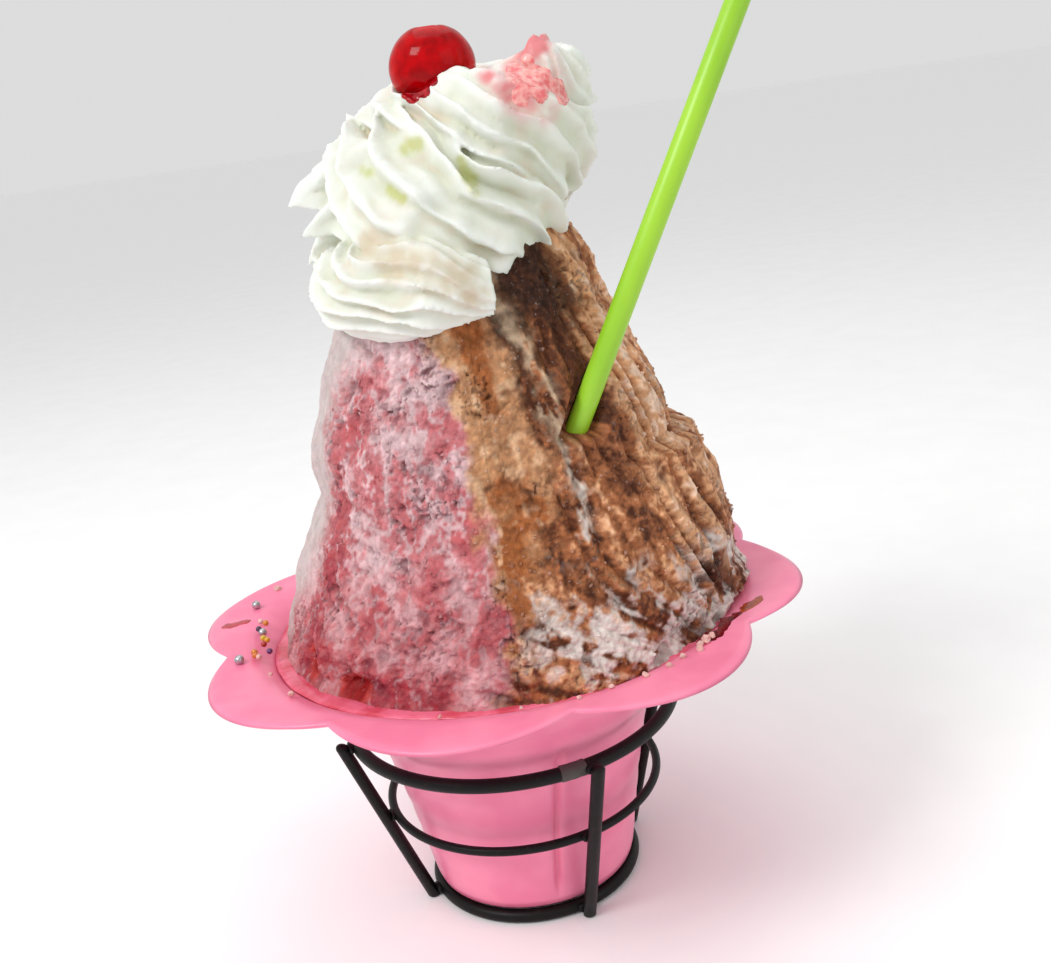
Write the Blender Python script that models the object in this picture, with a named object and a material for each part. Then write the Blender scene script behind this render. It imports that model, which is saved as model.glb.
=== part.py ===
"""Shaved ice dessert in a petal-edged cup, held by a wire stand.

Everything is laid out in millimetres in a frame whose zero is the cup's axis at
the height of the lip, and moved to the floor and scaled to metres when a mesh is
made. +Z is up, -Y is the front of the dessert.
"""
import math

import bmesh
import bpy
from mathutils import Matrix, Vector, noise

MM = 0.001

# Where the cup's axis and lip stand in the finished object (mm)
AXIS_X = -4.25
LIP_HEIGHT = 77.65
FIT_GAP = 0.3

# Cup (mm): radius and height of the outer side, from the foot to the lip
CUP_WALL = 1.2
FOOT_DISH = 0.6
CUP_SIDE = (
    (26.1, -74.0),
    (26.6, -73.4),
    (30.7, -50.0),
    (35.2, -29.6),
    (36.9, -26.9),
    (58.6, -3.5),
    (62.0, -1.5),
)
PETALS = 8
PETAL_TURN = math.radians(-10.4)
PETAL_TIP = 76.0
PETAL_NOTCH = 67.4
PETAL_ROUNDNESS = 0.46
LIP_NOTCH_HEIGHT = -0.7
LIP_TIP_HEIGHT = -1.4
CUP_SEGMENTS = 64
LIP_INNER_RADIUS = 61.3
LIP_CLEAR_HEIGHT = 1.2

# Ice mound (mm): height and radius about the mound's own centre line
MOUND_X = 4.0
MOUND_SIDE = (
    (-8.0, 58.8),
    (4.0, 54.8),
    (17.0, 50.2),
    (28.0, 46.2),
    (38.0, 43.4),
    (47.0, 42.0),
    (61.0, 37.0),
    (71.0, 32.8),
    (78.0, 30.6),
    (85.0, 28.2),
    (91.0, 25.0),
    (96.5, 18.0),
    (99.5, 10.0),
)
SHOULDER_TOP = 37.5
SHOULDER_SWELL = 6.0
WAIST_HEIGHT = 35.0
WAIST_DEPTH = 2.2
FOOT_SPREAD = 3.0
SEAT_HEIGHT = 72.0
SEAT_DEPTH = 7.0
ICE_SEGMENTS = 48
ICE_FLOOR_STEPS = 5
ICE_SIDE_STEPS = 21

# Straw (mm)
STRAW_OUTER = 2.5
STRAW_INNER = 2.15
STRAW_ENTRY = Vector((24.1, -30.0, 48.4))
STRAW_LEAN = math.radians(27.3)
STRAW_ABOVE = 125.0
STRAW_BELOW = 55.0

# Whipped cream (mm): a fluted rope laid in a rising swirl
CREAM_START = math.radians(288.0)
CREAM_TURNS = 2.96
CREAM_FLUTES = 7
CREAM_FLUTE_DEPTH = 0.27
CREAM_TWIST = 0.034
# turns along the rope: swirl centre x, swirl centre y, coil radius, height, rope radius
CREAM_LAY = (
    (0.00, (1.0, -4.0, 27.5, 81.0, 5.5)),
    (0.06, (0.0, -4.0, 27.0, 82.0, 9.0)),
    (0.15, (0.0, -4.0, 26.5, 83.0, 9.5)),
    (0.30, (0.0, -2.0, 23.0, 85.0, 9.5)),
    (0.55, (4.0, 0.0, 22.0, 88.0, 11.0)),
    (0.80, (6.0, 0.0, 13.0, 96.0, 12.5)),
    (1.04, (6.5, 0.0, 14.0, 98.5, 17.5)),
    (1.30, (6.5, 0.0, 14.0, 104.5, 17.0)),
    (1.55, (8.0, 0.0, 14.0, 106.0, 15.5)),
    (1.80, (9.5, 0.0, 14.5, 108.5, 13.5)),
    (2.04, (12.0, 0.0, 13.0, 112.5, 12.0)),
    (2.30, (9.0, 0.0, 11.5, 115.5, 10.5)),
    (2.50, (14.0, 0.0, 10.0, 118.5, 9.0)),
    (2.75, (18.0, 0.0, 11.5, 119.5, 9.0)),
    (2.88, (19.0, -1.0, 9.0, 123.0, 6.5)),
    (2.96, (20.0, -1.0, 8.0, 131.0, 0.8)),
)
CREAM_CORE = (
    ((2.0, -8.0, 91.0), 20.0),
    ((6.0, 0.0, 100.0), 17.0),
    ((10.0, 0.0, 112.0), 12.0),
)
# Flutes pulled out into points: where each starts, where it ends, its radius
CREAM_POINTS = (
    ((-17.0, -3.0, 104.0), (-33.5, -5.0, 100.6), 8.0),
    ((-20.0, -5.0, 92.0), (-31.5, -7.0, 87.6), 7.0),
    ((27.0, 0.0, 111.0), (39.6, -1.0, 116.0), 6.5),
)
CREAM_VOXEL = 1.25
CREAM_KEEP = 0.066

# Cherry (mm)
CHERRY_CENTRE = Vector((4.2, -6.0, 127.0))
CHERRY_RADIUS = 9.4
CHERRY_SQUASH = 0.9

# Wire stand (mm)
RING_SEGMENTS = 32
WIRE_SIDES = 8
TOP_RING = (41.6, -29.0, 1.7)
LOWER_RING = (35.2, -50.9, 1.1)
BASE_RING = (26.3, -76.0, 1.65)
LEG_WIRE = 1.65
LEG_TOP = (45.9, -27.2)
LEG_FOOT = (29.4, -77.65)
LEG_AZIMUTHS = (199.0, 294.0, 22.0, 112.0)


def clear_scene():
    """Empty the file before anything is built."""
    for item in list(bpy.data.objects):
        bpy.data.objects.remove(item, do_unlink=True)


def material(name, colour, roughness, metallic=0.0):
    """Make one Principled BSDF material."""
    made = bpy.data.materials.new(name)
    made.use_nodes = True
    shader = made.node_tree.nodes["Principled BSDF"]
    shader.inputs["Base Color"].default_value = (*colour, 1.0)
    shader.inputs["Roughness"].default_value = roughness
    shader.inputs["Metallic"].default_value = metallic
    made.diffuse_color = (*colour, 1.0)
    return made


def world(point):
    """Move a point from the lip frame to the floor frame, in metres."""
    x, y, z = point
    return Vector(((x + AXIS_X) * MM, y * MM, (z + LIP_HEIGHT) * MM))


def add_object(name, mesh, finish=None, sharp=40.0):
    """Link a mesh as a named object with its material and smooth shading."""
    made = bpy.data.objects.new(name, mesh)
    bpy.context.scene.collection.objects.link(made)
    if finish is not None:
        mesh.materials.append(finish)
        mesh.shade_smooth()
        mesh.set_sharp_from_angle(angle=math.radians(sharp))
    return made


def as_cutter(item):
    """Mark an object as a cutting tool that isn't part of the result."""
    item.hide_render = True
    item.display_type = "WIRE"
    return item


def cut_away(item, cutter):
    """Subtract a cutter from an object with an exact Boolean."""
    step = item.modifiers.new("cut_" + cutter.name, "BOOLEAN")
    step.operation = "DIFFERENCE"
    step.solver = "EXACT"
    step.object = cutter


def stacked_mesh(name, rows, close_ends=True):
    """Skin rows of points that each go once round the same axis, lowest row first."""
    shape = bmesh.new()
    loops = [[shape.verts.new(world(point)) for point in row] for row in rows]
    count = len(loops[0])
    for lower, upper in zip(loops, loops[1:]):
        for index in range(count):
            after = (index + 1) % count
            shape.faces.new((lower[index], lower[after], upper[after], upper[index]))
    if close_ends:
        for row, loop, flip in ((rows[0], loops[0], True), (rows[-1], loops[-1], False)):
            middle = sum((Vector(point) for point in row), Vector()) / count
            centre = shape.verts.new(world(middle))
            for index in range(count):
                after = (index + 1) % count
                corners = (loop[index], loop[after], centre)
                shape.faces.new(tuple(reversed(corners)) if flip else corners)
    mesh = bpy.data.meshes.new(name)
    shape.to_mesh(mesh)
    shape.free()
    return mesh


def between(table, where):
    """Read a table of (position, value) pairs with a smooth curve through them."""
    if where <= table[0][0]:
        return table[0][1]
    for index in range(len(table) - 1):
        start, end = table[index][0], table[index + 1][0]
        if where <= end:
            break
    else:
        return table[-1][1]
    before = max(index - 1, 0)
    after = min(index + 2, len(table) - 1)
    share = (where - start) / (end - start)
    span = end - start
    first, last = table[index][1], table[index + 1][1]
    rise_in = (last - table[before][1]) / (end - table[before][0]) * span
    rise_out = (table[after][1] - first) / (table[after][0] - start) * span
    square, cube = share * share, share ** 3
    return (
        (2 * cube - 3 * square + 1) * first
        + (cube - 2 * square + share) * rise_in
        + (3 * square - 2 * cube) * last
        + (cube - square) * rise_out
    )


def eased(low, high, value):
    """Ease from 0 at low to 1 at high."""
    share = min(max((value - low) / (high - low), 0.0), 1.0)
    return share * share * (3.0 - 2.0 * share)


def petal_share(azimuth):
    """Tell how far an azimuth is along a petal: 0 in a notch, 1 at a tip."""
    wave = 0.5 + 0.5 * math.cos(PETALS * (azimuth - PETAL_TURN))
    return max(wave, 0.0) ** PETAL_ROUNDNESS


def cup_inner_radius(height):
    """Radius of the cup's inner side at a height."""
    for (low_r, low_z), (high_r, high_z) in zip(CUP_SIDE[1:], CUP_SIDE[2:]):
        if height <= high_z:
            break
    slope = (high_r - low_r) / (high_z - low_z)
    outer = low_r + (height - low_z) * slope
    return outer - CUP_WALL * math.hypot(1.0, slope)


def build_cup(finish):
    """Tapered cup with a dished foot, a flared bowl and a flat lip of eight petals."""
    turns = [
        PETAL_TURN + math.pi / PETALS + math.tau * index / CUP_SEGMENTS
        for index in range(CUP_SEGMENTS)
    ]
    rows = [
        [(radius * math.cos(turn), radius * math.sin(turn), height) for turn in turns]
        for radius, height in CUP_SIDE
    ]
    start_radius, start_height = CUP_SIDE[-1]
    for share in (0.5, 1.0):
        row = []
        for turn in turns:
            petal = petal_share(turn)
            edge = PETAL_NOTCH + (PETAL_TIP - PETAL_NOTCH) * petal
            rim = LIP_NOTCH_HEIGHT + (LIP_TIP_HEIGHT - LIP_NOTCH_HEIGHT) * petal
            radius = start_radius + (edge - start_radius) * share
            height = start_height + (rim - start_height) * share
            row.append((radius * math.cos(turn), radius * math.sin(turn), height))
        rows.append(row)
    mesh = stacked_mesh("cup", rows, close_ends=False)
    shape = bmesh.new()
    shape.from_mesh(mesh)
    foot = [edge for edge in shape.edges if edge.is_boundary and edge.verts[0].co.z < 0.01]
    bmesh.ops.holes_fill(shape, edges=foot)
    bmesh.ops.recalc_face_normals(shape, faces=shape.faces)
    lowest = min(shape.faces, key=lambda face: face.calc_center_median().z)
    if lowest.normal.z > 0.0:
        bmesh.ops.reverse_faces(shape, faces=shape.faces)
    bmesh.ops.poke(shape, faces=[lowest], offset=-FOOT_DISH * MM)
    shape.to_mesh(mesh)
    shape.free()
    cup = add_object("cup", mesh, finish)
    wall = cup.modifiers.new("wall", "SOLIDIFY")
    wall.thickness = CUP_WALL * MM
    wall.offset = -1.0
    wall.use_even_offset = True
    cup.modifiers.new("facets", "TRIANGULATE")
    return cup


def ice_relief(azimuth, height):
    """Lumps and scraped flutes of the packed ice (mm)."""
    around = Vector((3.0 * math.cos(azimuth), 3.0 * math.sin(azimuth), height * 0.05))
    lumps = 1.5 * noise.noise(around * 1.3) + 0.8 * noise.noise(around * 3.1)
    on_right = eased(-0.25, 0.35, math.cos(azimuth))
    flutes = 0.7 * math.sin(22.0 * azimuth + 0.05 * height)
    return lumps + flutes * on_right


def mound_radius(azimuth, height):
    """Radius of the mound about its own centre line."""
    radius = between(MOUND_SIDE, height)
    right = max(math.cos(azimuth), 0.0) ** 1.5
    shoulder = eased(2.0, 18.0, height) * (1.0 - eased(SHOULDER_TOP, SHOULDER_TOP + 4.0, height))
    radius += SHOULDER_SWELL * right * shoulder
    left = max(-math.cos(azimuth), 0.0) ** 1.5
    radius -= WAIST_DEPTH * left * math.exp(-(((height - WAIST_HEIGHT) / 7.0) ** 2))
    radius += FOOT_SPREAD * right * math.exp(-(((height - 1.0) / 6.0) ** 2))
    seat = eased(SEAT_HEIGHT, SEAT_HEIGHT + 8.0, height) * eased(0.2, -0.5, math.cos(azimuth + 0.7))
    radius -= SEAT_DEPTH * seat
    fade = eased(-8.0, 2.0, height) * (1.0 - 0.8 * eased(88.0, 99.0, height))
    return radius + ice_relief(azimuth, height) * fade


def reach(azimuth, limit):
    """Distance from the mound's centre line to a circle round the cup's axis."""
    side = MOUND_X * math.sin(azimuth)
    return math.sqrt(max(limit * limit - side * side, 0.0)) - MOUND_X * math.cos(azimuth)


def ice_rows(swell):
    """Rows of the ice from the cup's floor to the top, grown outward by swell."""
    turns = [math.tau * index / ICE_SEGMENTS for index in range(ICE_SEGMENTS)]
    floor = CUP_SIDE[0][1] + CUP_WALL + FOOT_DISH + FIT_GAP
    heights = [floor + (-30.5 - floor) * step / (ICE_FLOOR_STEPS - 1) for step in range(ICE_FLOOR_STEPS)]
    low, high = -26.0, MOUND_SIDE[-1][0]
    for step in range(ICE_SIDE_STEPS):
        share = step / (ICE_SIDE_STEPS - 1)
        heights.append(low + (high - low) * share ** 0.93)
    rows = []
    for height in heights:
        row = []
        for turn in turns:
            radius = mound_radius(turn, height)
            if height < LIP_CLEAR_HEIGHT:
                snug = min(cup_inner_radius(height), LIP_INNER_RADIUS) - FIT_GAP * 1.7
                radius = min(radius, reach(turn, snug))
            radius += swell
            raised = height + swell * eased(40.0, 95.0, height)
            row.append((MOUND_X + radius * math.cos(turn), radius * math.sin(turn), raised))
        rows.append(row)
    return rows


def build_ice(finish):
    """Ice that fills the cup and rises out of it as a scraped mound."""
    return add_object("shaved_ice", stacked_mesh("shaved_ice", ice_rows(0.0)), finish)


def straw_point(along):
    """Point on the straw's centre line, measured up from where it enters the ice."""
    lean = Vector((math.sin(STRAW_LEAN), 0.0, math.cos(STRAW_LEAN)))
    return STRAW_ENTRY + lean * along


def tube_rows(start, end, radius, sides):
    """Two rows of points round a straight line."""
    lean = (end - start).normalized()
    across = lean.orthogonal().normalized()
    beside = lean.cross(across)
    rows = []
    for centre in (start, end):
        row = []
        for index in range(sides):
            turn = math.tau * index / sides
            row.append(centre + radius * (across * math.cos(turn) + beside * math.sin(turn)))
        rows.append(row)
    return rows


def build_straw(finish):
    """Plain drinking straw: a thin tube open at both ends."""
    sides = 16
    low, high = straw_point(-STRAW_BELOW), straw_point(STRAW_ABOVE)
    outer = tube_rows(low, high, STRAW_OUTER, sides)
    inner = tube_rows(low, high, STRAW_INNER, sides)
    shape = bmesh.new()
    loops = [[shape.verts.new(world(point)) for point in row] for row in (*outer, *inner[::-1])]
    for loop, following in zip(loops, loops[1:] + loops[:1]):
        for index in range(sides):
            after = (index + 1) % sides
            shape.faces.new((loop[index], loop[after], following[after], following[index]))
    bmesh.ops.recalc_face_normals(shape, faces=shape.faces)
    mesh = bpy.data.meshes.new("straw")
    shape.to_mesh(mesh)
    shape.free()
    return add_object("straw", mesh, finish)


def build_straw_cutter():
    """Solid rod that clears the ice round the straw."""
    low = straw_point(-STRAW_BELOW - FIT_GAP)
    high = straw_point(STRAW_ABOVE)
    rows = tube_rows(low, high, STRAW_OUTER + FIT_GAP + 0.1, 16)
    return as_cutter(add_object("straw_cutter", stacked_mesh("straw_cutter", rows)))


def rope_centre(turns):
    """Centre line of the cream rope after a number of turns."""
    centre_x, centre_y, coil, height, _ = rope_lay(turns)
    azimuth = CREAM_START - math.tau * turns
    return Vector((centre_x + coil * math.cos(azimuth), centre_y + coil * math.sin(azimuth), height))


def rope_lay(turns):
    """The five laying dimensions of the rope after a number of turns."""
    return [
        between(tuple((where, values[index]) for where, values in CREAM_LAY), turns)
        for index in range(5)
    ]


def rope_rows(stations, points_per_flute):
    """Fluted cross-sections along the cream rope."""
    rows = []
    travelled = 0.0
    last = None
    sides = CREAM_FLUTES * points_per_flute
    for step in range(stations + 1):
        turns = CREAM_TURNS * step / stations
        centre = rope_centre(turns)
        ahead = (rope_centre(turns + 0.004) - rope_centre(turns - 0.004)).normalized()
        if last is not None:
            travelled += (centre - last).length
        last = centre
        centre_x, centre_y, _, _, radius = rope_lay(turns)
        outward = Vector((centre.x - centre_x, centre.y - centre_y, 0.0))
        outward = (outward - outward.dot(ahead) * ahead).normalized()
        upward = outward.cross(ahead)
        if upward.z < 0.0:
            upward = -upward
        row = []
        for index in range(sides):
            turn = math.tau * index / sides
            valley = abs(math.sin(0.5 * CREAM_FLUTES * turn)) ** 0.85
            reach_out = radius * (1.0 - CREAM_FLUTE_DEPTH * valley)
            angle = turn + CREAM_TWIST * travelled
            row.append(centre + reach_out * (outward * math.cos(angle) + upward * math.sin(angle)))
        rows.append(row)
    return rows


def rod_mesh(name, rows):
    """Closed mesh of a swept rope with a flat fan at each end."""
    mesh = stacked_mesh(name, rows)
    shape = bmesh.new()
    shape.from_mesh(mesh)
    bmesh.ops.recalc_face_normals(shape, faces=shape.faces)
    shape.to_mesh(mesh)
    shape.free()
    return mesh


def add_ball(shape, centre, radius, squash=1.0):
    """Add a ball to a bmesh; centre and radius in the lip frame."""
    place = Matrix.Translation(world(centre)) @ Matrix.Diagonal((1.0, 1.0, squash, 1.0))
    bmesh.ops.create_uvsphere(shape, u_segments=20, v_segments=11, radius=radius * MM, matrix=place)


def add_spike(shape, start, end, radius):
    """Add a cone that runs out to a point."""
    along = world(end) - world(start)
    place = Matrix.Translation(world((start + end) / 2)) @ along.to_track_quat("Z", "Y").to_matrix().to_4x4()
    bmesh.ops.create_cone(
        shape,
        cap_ends=True,
        cap_tris=True,
        segments=14,
        radius1=radius * MM,
        radius2=0.6 * MM,
        depth=along.length,
        matrix=place,
    )


def build_cream(finish, ice_cutter, cherry_cutter):
    """Swirl of fluted whipped cream seated over the top of the mound."""
    mesh = rod_mesh("whipped_cream", rope_rows(150, 6))
    shape = bmesh.new()
    shape.from_mesh(mesh)
    for centre, radius in CREAM_CORE:
        add_ball(shape, centre, radius)
    for start, end, radius in CREAM_POINTS:
        add_spike(shape, Vector(start), Vector(end), radius)
    shape.to_mesh(mesh)
    shape.free()
    cream = add_object("whipped_cream", mesh, finish)
    fuse = cream.modifiers.new("fuse", "REMESH")
    fuse.mode = "VOXEL"
    fuse.voxel_size = CREAM_VOXEL * MM
    thin = cream.modifiers.new("thin", "DECIMATE")
    thin.ratio = CREAM_KEEP
    cut_away(cream, ice_cutter)
    cut_away(cream, cherry_cutter)
    return cream


def build_cherry(finish):
    """Candied cherry, a little flattened."""
    shape = bmesh.new()
    add_ball(shape, CHERRY_CENTRE, CHERRY_RADIUS, CHERRY_SQUASH)
    mesh = bpy.data.meshes.new("cherry")
    shape.to_mesh(mesh)
    shape.free()
    return add_object("cherry", mesh, finish)


def build_cherry_cutter():
    """Seat of the cherry in the cream."""
    shape = bmesh.new()
    add_ball(shape, CHERRY_CENTRE, CHERRY_RADIUS + FIT_GAP + 0.1, CHERRY_SQUASH)
    mesh = bpy.data.meshes.new("cherry_cutter")
    shape.to_mesh(mesh)
    shape.free()
    return as_cutter(add_object("cherry_cutter", mesh))


def build_ring(name, size, finish):
    """Closed ring of round wire, flat underneath so that it can stand."""
    ring_radius, height, wire = size
    shape = bmesh.new()
    loops = []
    for side in range(RING_SEGMENTS):
        turn = math.tau * side / RING_SEGMENTS
        loop = []
        for corner in range(WIRE_SIDES):
            angle = math.tau * (corner + 0.5) / WIRE_SIDES
            grown = wire / math.cos(math.pi / WIRE_SIDES)
            radius = ring_radius + grown * math.cos(angle)
            point = (radius * math.cos(turn), radius * math.sin(turn), height + grown * math.sin(angle))
            loop.append(shape.verts.new(world(point)))
        loops.append(loop)
    for loop, following in zip(loops, loops[1:] + loops[:1]):
        for corner in range(WIRE_SIDES):
            after = (corner + 1) % WIRE_SIDES
            shape.faces.new((loop[corner], following[corner], following[after], loop[after]))
    bmesh.ops.recalc_face_normals(shape, faces=shape.faces)
    mesh = bpy.data.meshes.new(name)
    shape.to_mesh(mesh)
    shape.free()
    return add_object(name, mesh, finish)


def build_leg(name, azimuth, finish):
    """Straight wire leg: flat foot on the floor, rounded top beside the top ring."""
    turn = math.radians(azimuth)
    (top_radius, top_height), (foot_radius, foot_height) = LEG_TOP, LEG_FOOT
    lean = (top_radius - foot_radius) / (top_height - foot_height)
    rows = []
    for height, wire in (
        (foot_height, LEG_WIRE),
        (top_height - 1.2, LEG_WIRE),
        (top_height - 0.4, LEG_WIRE * 0.8),
        (top_height, LEG_WIRE * 0.4),
    ):
        middle = foot_radius + (height - foot_height) * lean
        row = []
        for corner in range(WIRE_SIDES):
            angle = math.tau * (corner + 0.5) / WIRE_SIDES + turn
            row.append((
                middle * math.cos(turn) + wire * math.cos(angle),
                middle * math.sin(turn) + wire * math.sin(angle),
                height,
            ))
        rows.append(row)
    return add_object(name, stacked_mesh(name, rows), finish)


def main():
    """Build every part of the dessert."""
    clear_scene()
    cup_pink = material("cup_plastic", (0.86, 0.22, 0.36), 0.32)
    ice_mix = material("flavoured_ice", (0.66, 0.30, 0.26), 0.55)
    cream_white = material("whipped_cream", (0.90, 0.92, 0.86), 0.45)
    cherry_red = material("candied_cherry", (0.45, 0.0, 0.005), 0.12)
    straw_green = material("straw_plastic", (0.45, 0.78, 0.06), 0.35)
    wire_black = material("black_wire", (0.02, 0.018, 0.016), 0.35)

    build_cup(cup_pink)
    ice = build_ice(ice_mix)
    straw_cutter = build_straw_cutter()
    cut_away(ice, straw_cutter)
    ice_cutter = as_cutter(add_object("ice_cutter", stacked_mesh("ice_cutter", ice_rows(FIT_GAP + 0.25))))
    build_cream(cream_white, ice_cutter, build_cherry_cutter())
    build_cherry(cherry_red)
    build_straw(straw_green)
    build_ring("stand_top_ring", TOP_RING, wire_black)
    build_ring("stand_lower_ring", LOWER_RING, wire_black)
    build_ring("stand_base_ring", BASE_RING, wire_black)
    for number, azimuth in enumerate(LEG_AZIMUTHS, start=1):
        build_leg(f"stand_leg_{number}", azimuth, wire_black)


main()
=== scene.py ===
"""Looks of the shaved ice dessert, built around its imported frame.

Sizes are in millimetres in the lip frame, whose zero is the cup's axis at the height
of the lip. +Z is up and -Y is the front. Placing turns them into the frame's metres.
"""

import itertools
import logging
import math
from dataclasses import dataclass
from enum import Enum
from typing import Callable, Sequence

import bmesh
import bpy
import numpy as np
from mathutils import Matrix, Vector, noise


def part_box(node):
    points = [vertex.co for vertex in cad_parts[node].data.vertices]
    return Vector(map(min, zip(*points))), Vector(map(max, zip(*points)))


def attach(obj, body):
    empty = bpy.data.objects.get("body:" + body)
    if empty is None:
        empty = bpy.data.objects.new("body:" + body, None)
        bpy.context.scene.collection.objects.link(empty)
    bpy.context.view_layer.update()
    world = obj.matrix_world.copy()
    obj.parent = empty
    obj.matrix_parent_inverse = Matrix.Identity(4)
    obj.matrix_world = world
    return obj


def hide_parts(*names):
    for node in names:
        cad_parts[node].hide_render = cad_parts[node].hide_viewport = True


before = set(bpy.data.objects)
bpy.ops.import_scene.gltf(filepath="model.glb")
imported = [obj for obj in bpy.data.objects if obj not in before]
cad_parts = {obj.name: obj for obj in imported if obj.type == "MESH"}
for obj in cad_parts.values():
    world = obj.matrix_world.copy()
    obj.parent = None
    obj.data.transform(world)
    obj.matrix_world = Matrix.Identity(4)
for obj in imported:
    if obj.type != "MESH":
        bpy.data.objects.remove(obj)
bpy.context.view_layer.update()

MM = 0.001
BODY = "root"
log = logging.getLogger("dessert")

Points = np.ndarray
Shares = np.ndarray
Table = Sequence[tuple[float, float]]
Colour = tuple[float, float, float, float]
SEEN = (1.0, 0.0, 1.0)
Spots = Sequence[tuple[tuple[float, float, float], float]]


# ---------------------------------------------------------------- numbers


def between(table: Table, where: float) -> float:
    """Read a table of (position, value) pairs with a smooth curve through them.

    Args:
        table: Pairs in rising order of position.
        where: The position to read at.

    Returns:
        The value there, held at the table's ends.
    """
    if where <= table[0][0]:
        return table[0][1]
    if where >= table[-1][0]:
        return table[-1][1]
    index = next(i for i in range(len(table) - 1) if where <= table[i + 1][0])
    (start, first), (end, last) = table[index], table[index + 1]
    before, after = table[max(index - 1, 0)], table[min(index + 2, len(table) - 1)]
    span = end - start
    share = (where - start) / span
    rise_in = (last - before[1]) / (end - before[0]) * span
    rise_out = (after[1] - first) / (after[0] - start) * span
    square, cube = share * share, share ** 3
    return (
        (2 * cube - 3 * square + 1) * first
        + (cube - 2 * square + share) * rise_in
        + (3 * square - 2 * cube) * last
        + (cube - square) * rise_out
    )


def eased(low: float, high: float, value: Shares) -> Shares:
    """Ease from 0 at low to 1 at high."""
    share = np.clip((value - low) / (high - low), 0.0, 1.0)
    return share * share * (3.0 - 2.0 * share)


def along(table: Table, where: Shares) -> Shares:
    """Read a table of (position, value) pairs with straight lines between them."""
    return np.interp(where, [pair[0] for pair in table], [pair[1] for pair in table])


def scramble(cells: np.ndarray, seed: int) -> Shares:
    """Turn whole-number cells into repeatable fractions.

    Args:
        cells: Whole numbers, three to a cell.
        seed: Picks one of many unrelated sets of fractions.

    Returns:
        One fraction from 0 to 1 for each cell.
    """
    parts = (cells & 0xFFFFFFFF).astype(np.uint64)
    mixed = parts[..., 0] * np.uint64(73856093)
    mixed ^= parts[..., 1] * np.uint64(19349663)
    mixed ^= parts[..., 2] * np.uint64(83492791)
    mixed ^= np.uint64(seed * 2654435761 & 0xFFFFFFFF)
    for shift, factor in ((15, 2246822519), (13, 3266489917)):
        mixed &= np.uint64(0xFFFFFFFF)
        mixed = (mixed ^ (mixed >> np.uint64(shift))) * np.uint64(factor)
    mixed ^= mixed >> np.uint64(16)
    return (mixed & np.uint64(0xFFFFFF)).astype(float) / 0x1000000


def lumps(points: Points, size: float, seed: int, octaves: int = 1) -> Shares:
    """Smooth random lumps.

    Args:
        points: Where to read them (mm).
        size: Size of the largest lumps (mm).
        seed: Picks the pattern.
        octaves: How many times finer lumps are laid over them.

    Returns:
        Values from about -1 to 1.
    """
    total, weight, weights = np.zeros(points.shape[:-1]), 1.0, 0.0
    for octave in range(octaves):
        scaled = points / size * 2 ** octave + 17.3 * octave
        base = np.floor(scaled).astype(np.int64)
        share = scaled - base
        share = share * share * (3.0 - 2.0 * share)
        value = np.zeros(points.shape[:-1])
        for corner in itertools.product((0, 1), repeat=3):
            near = np.where(np.array(corner, bool), share, 1.0 - share)
            value += near.prod(-1) * scramble(base + np.array(corner), seed + octave)
        total += weight * (2.0 * value - 1.0)
        weights += weight
        weight *= 0.5
    return total / weights


def crumbs(points: Points, size: float, seed: int) -> tuple[Shares, Shares]:
    """Scattered centres, as in packed grains.

    Args:
        points: Where to read them (mm).
        size: Usual distance between centres (mm).
        seed: Picks the pattern.

    Returns:
        The distance to the nearest centre as a share of size, and that grain's own fraction.
    """
    scaled = points / size
    base = np.floor(scaled).astype(np.int64)
    nearest = np.full(points.shape[:-1], np.inf)
    owner = np.zeros(points.shape[:-1])
    for offset in itertools.product((-1, 0, 1), repeat=3):
        cell = base + np.array(offset)
        centre = cell + np.stack([scramble(cell, seed + axis) for axis in range(3)], -1)
        apart = ((centre - scaled) ** 2).sum(-1)
        closer = apart < nearest
        nearest = np.where(closer, apart, nearest)
        owner = np.where(closer, scramble(cell, seed + 3), owner)
    return np.sqrt(nearest), owner


def tint(code: str) -> Colour:
    """Turn a screen colour such as "e58a95" into the linear colour that a shader takes."""
    parts = [int(code[index:index + 2], 16) / 255 for index in (0, 2, 4)]
    linear = [part / 12.92 if part <= 0.04045 else ((part + 0.055) / 1.055) ** 2.4 for part in parts]
    return (linear[0], linear[1], linear[2], 1.0)


def spread(
    points: Points, spots: Spots, seed: int, ragged: float, edge: tuple[float, float] = (0.35, 0.80)
) -> Shares:
    """Tell how far a stain has spread from its spots.

    Args:
        points: Where to read it (mm).
        spots: Middles of the stain and how far it spreads from each (mm).
        seed: Picks the ragged edge.
        ragged: How ragged the edge is.
        edge: Where the stain begins and where it is full, as shares of its middle.

    Returns:
        1 within the stain, 0 outside it.
    """
    share = np.zeros(len(points))
    for place, size in spots:
        share = np.maximum(share, np.exp(-((np.linalg.norm(points - np.array(place), axis=1) / size) ** 2)))
    return eased(*edge, share + ragged * share * lumps(points, 2.6, seed, 3))


def facing(mesh: bpy.types.Mesh) -> Shares:
    """Tell where a surface looks to the front: 1 there, 0 on its back."""
    return eased(-0.30, 0.05, -get_normals(mesh)[:, 1])


def blend_tints(start: Points, end: Colour, share: Shares) -> Points:
    """Move an array of colours towards one colour by a share each."""
    return start + (np.array(end[:3]) - start) * share[..., None]


# ---------------------------------------------------------------- places and meshes


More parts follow.
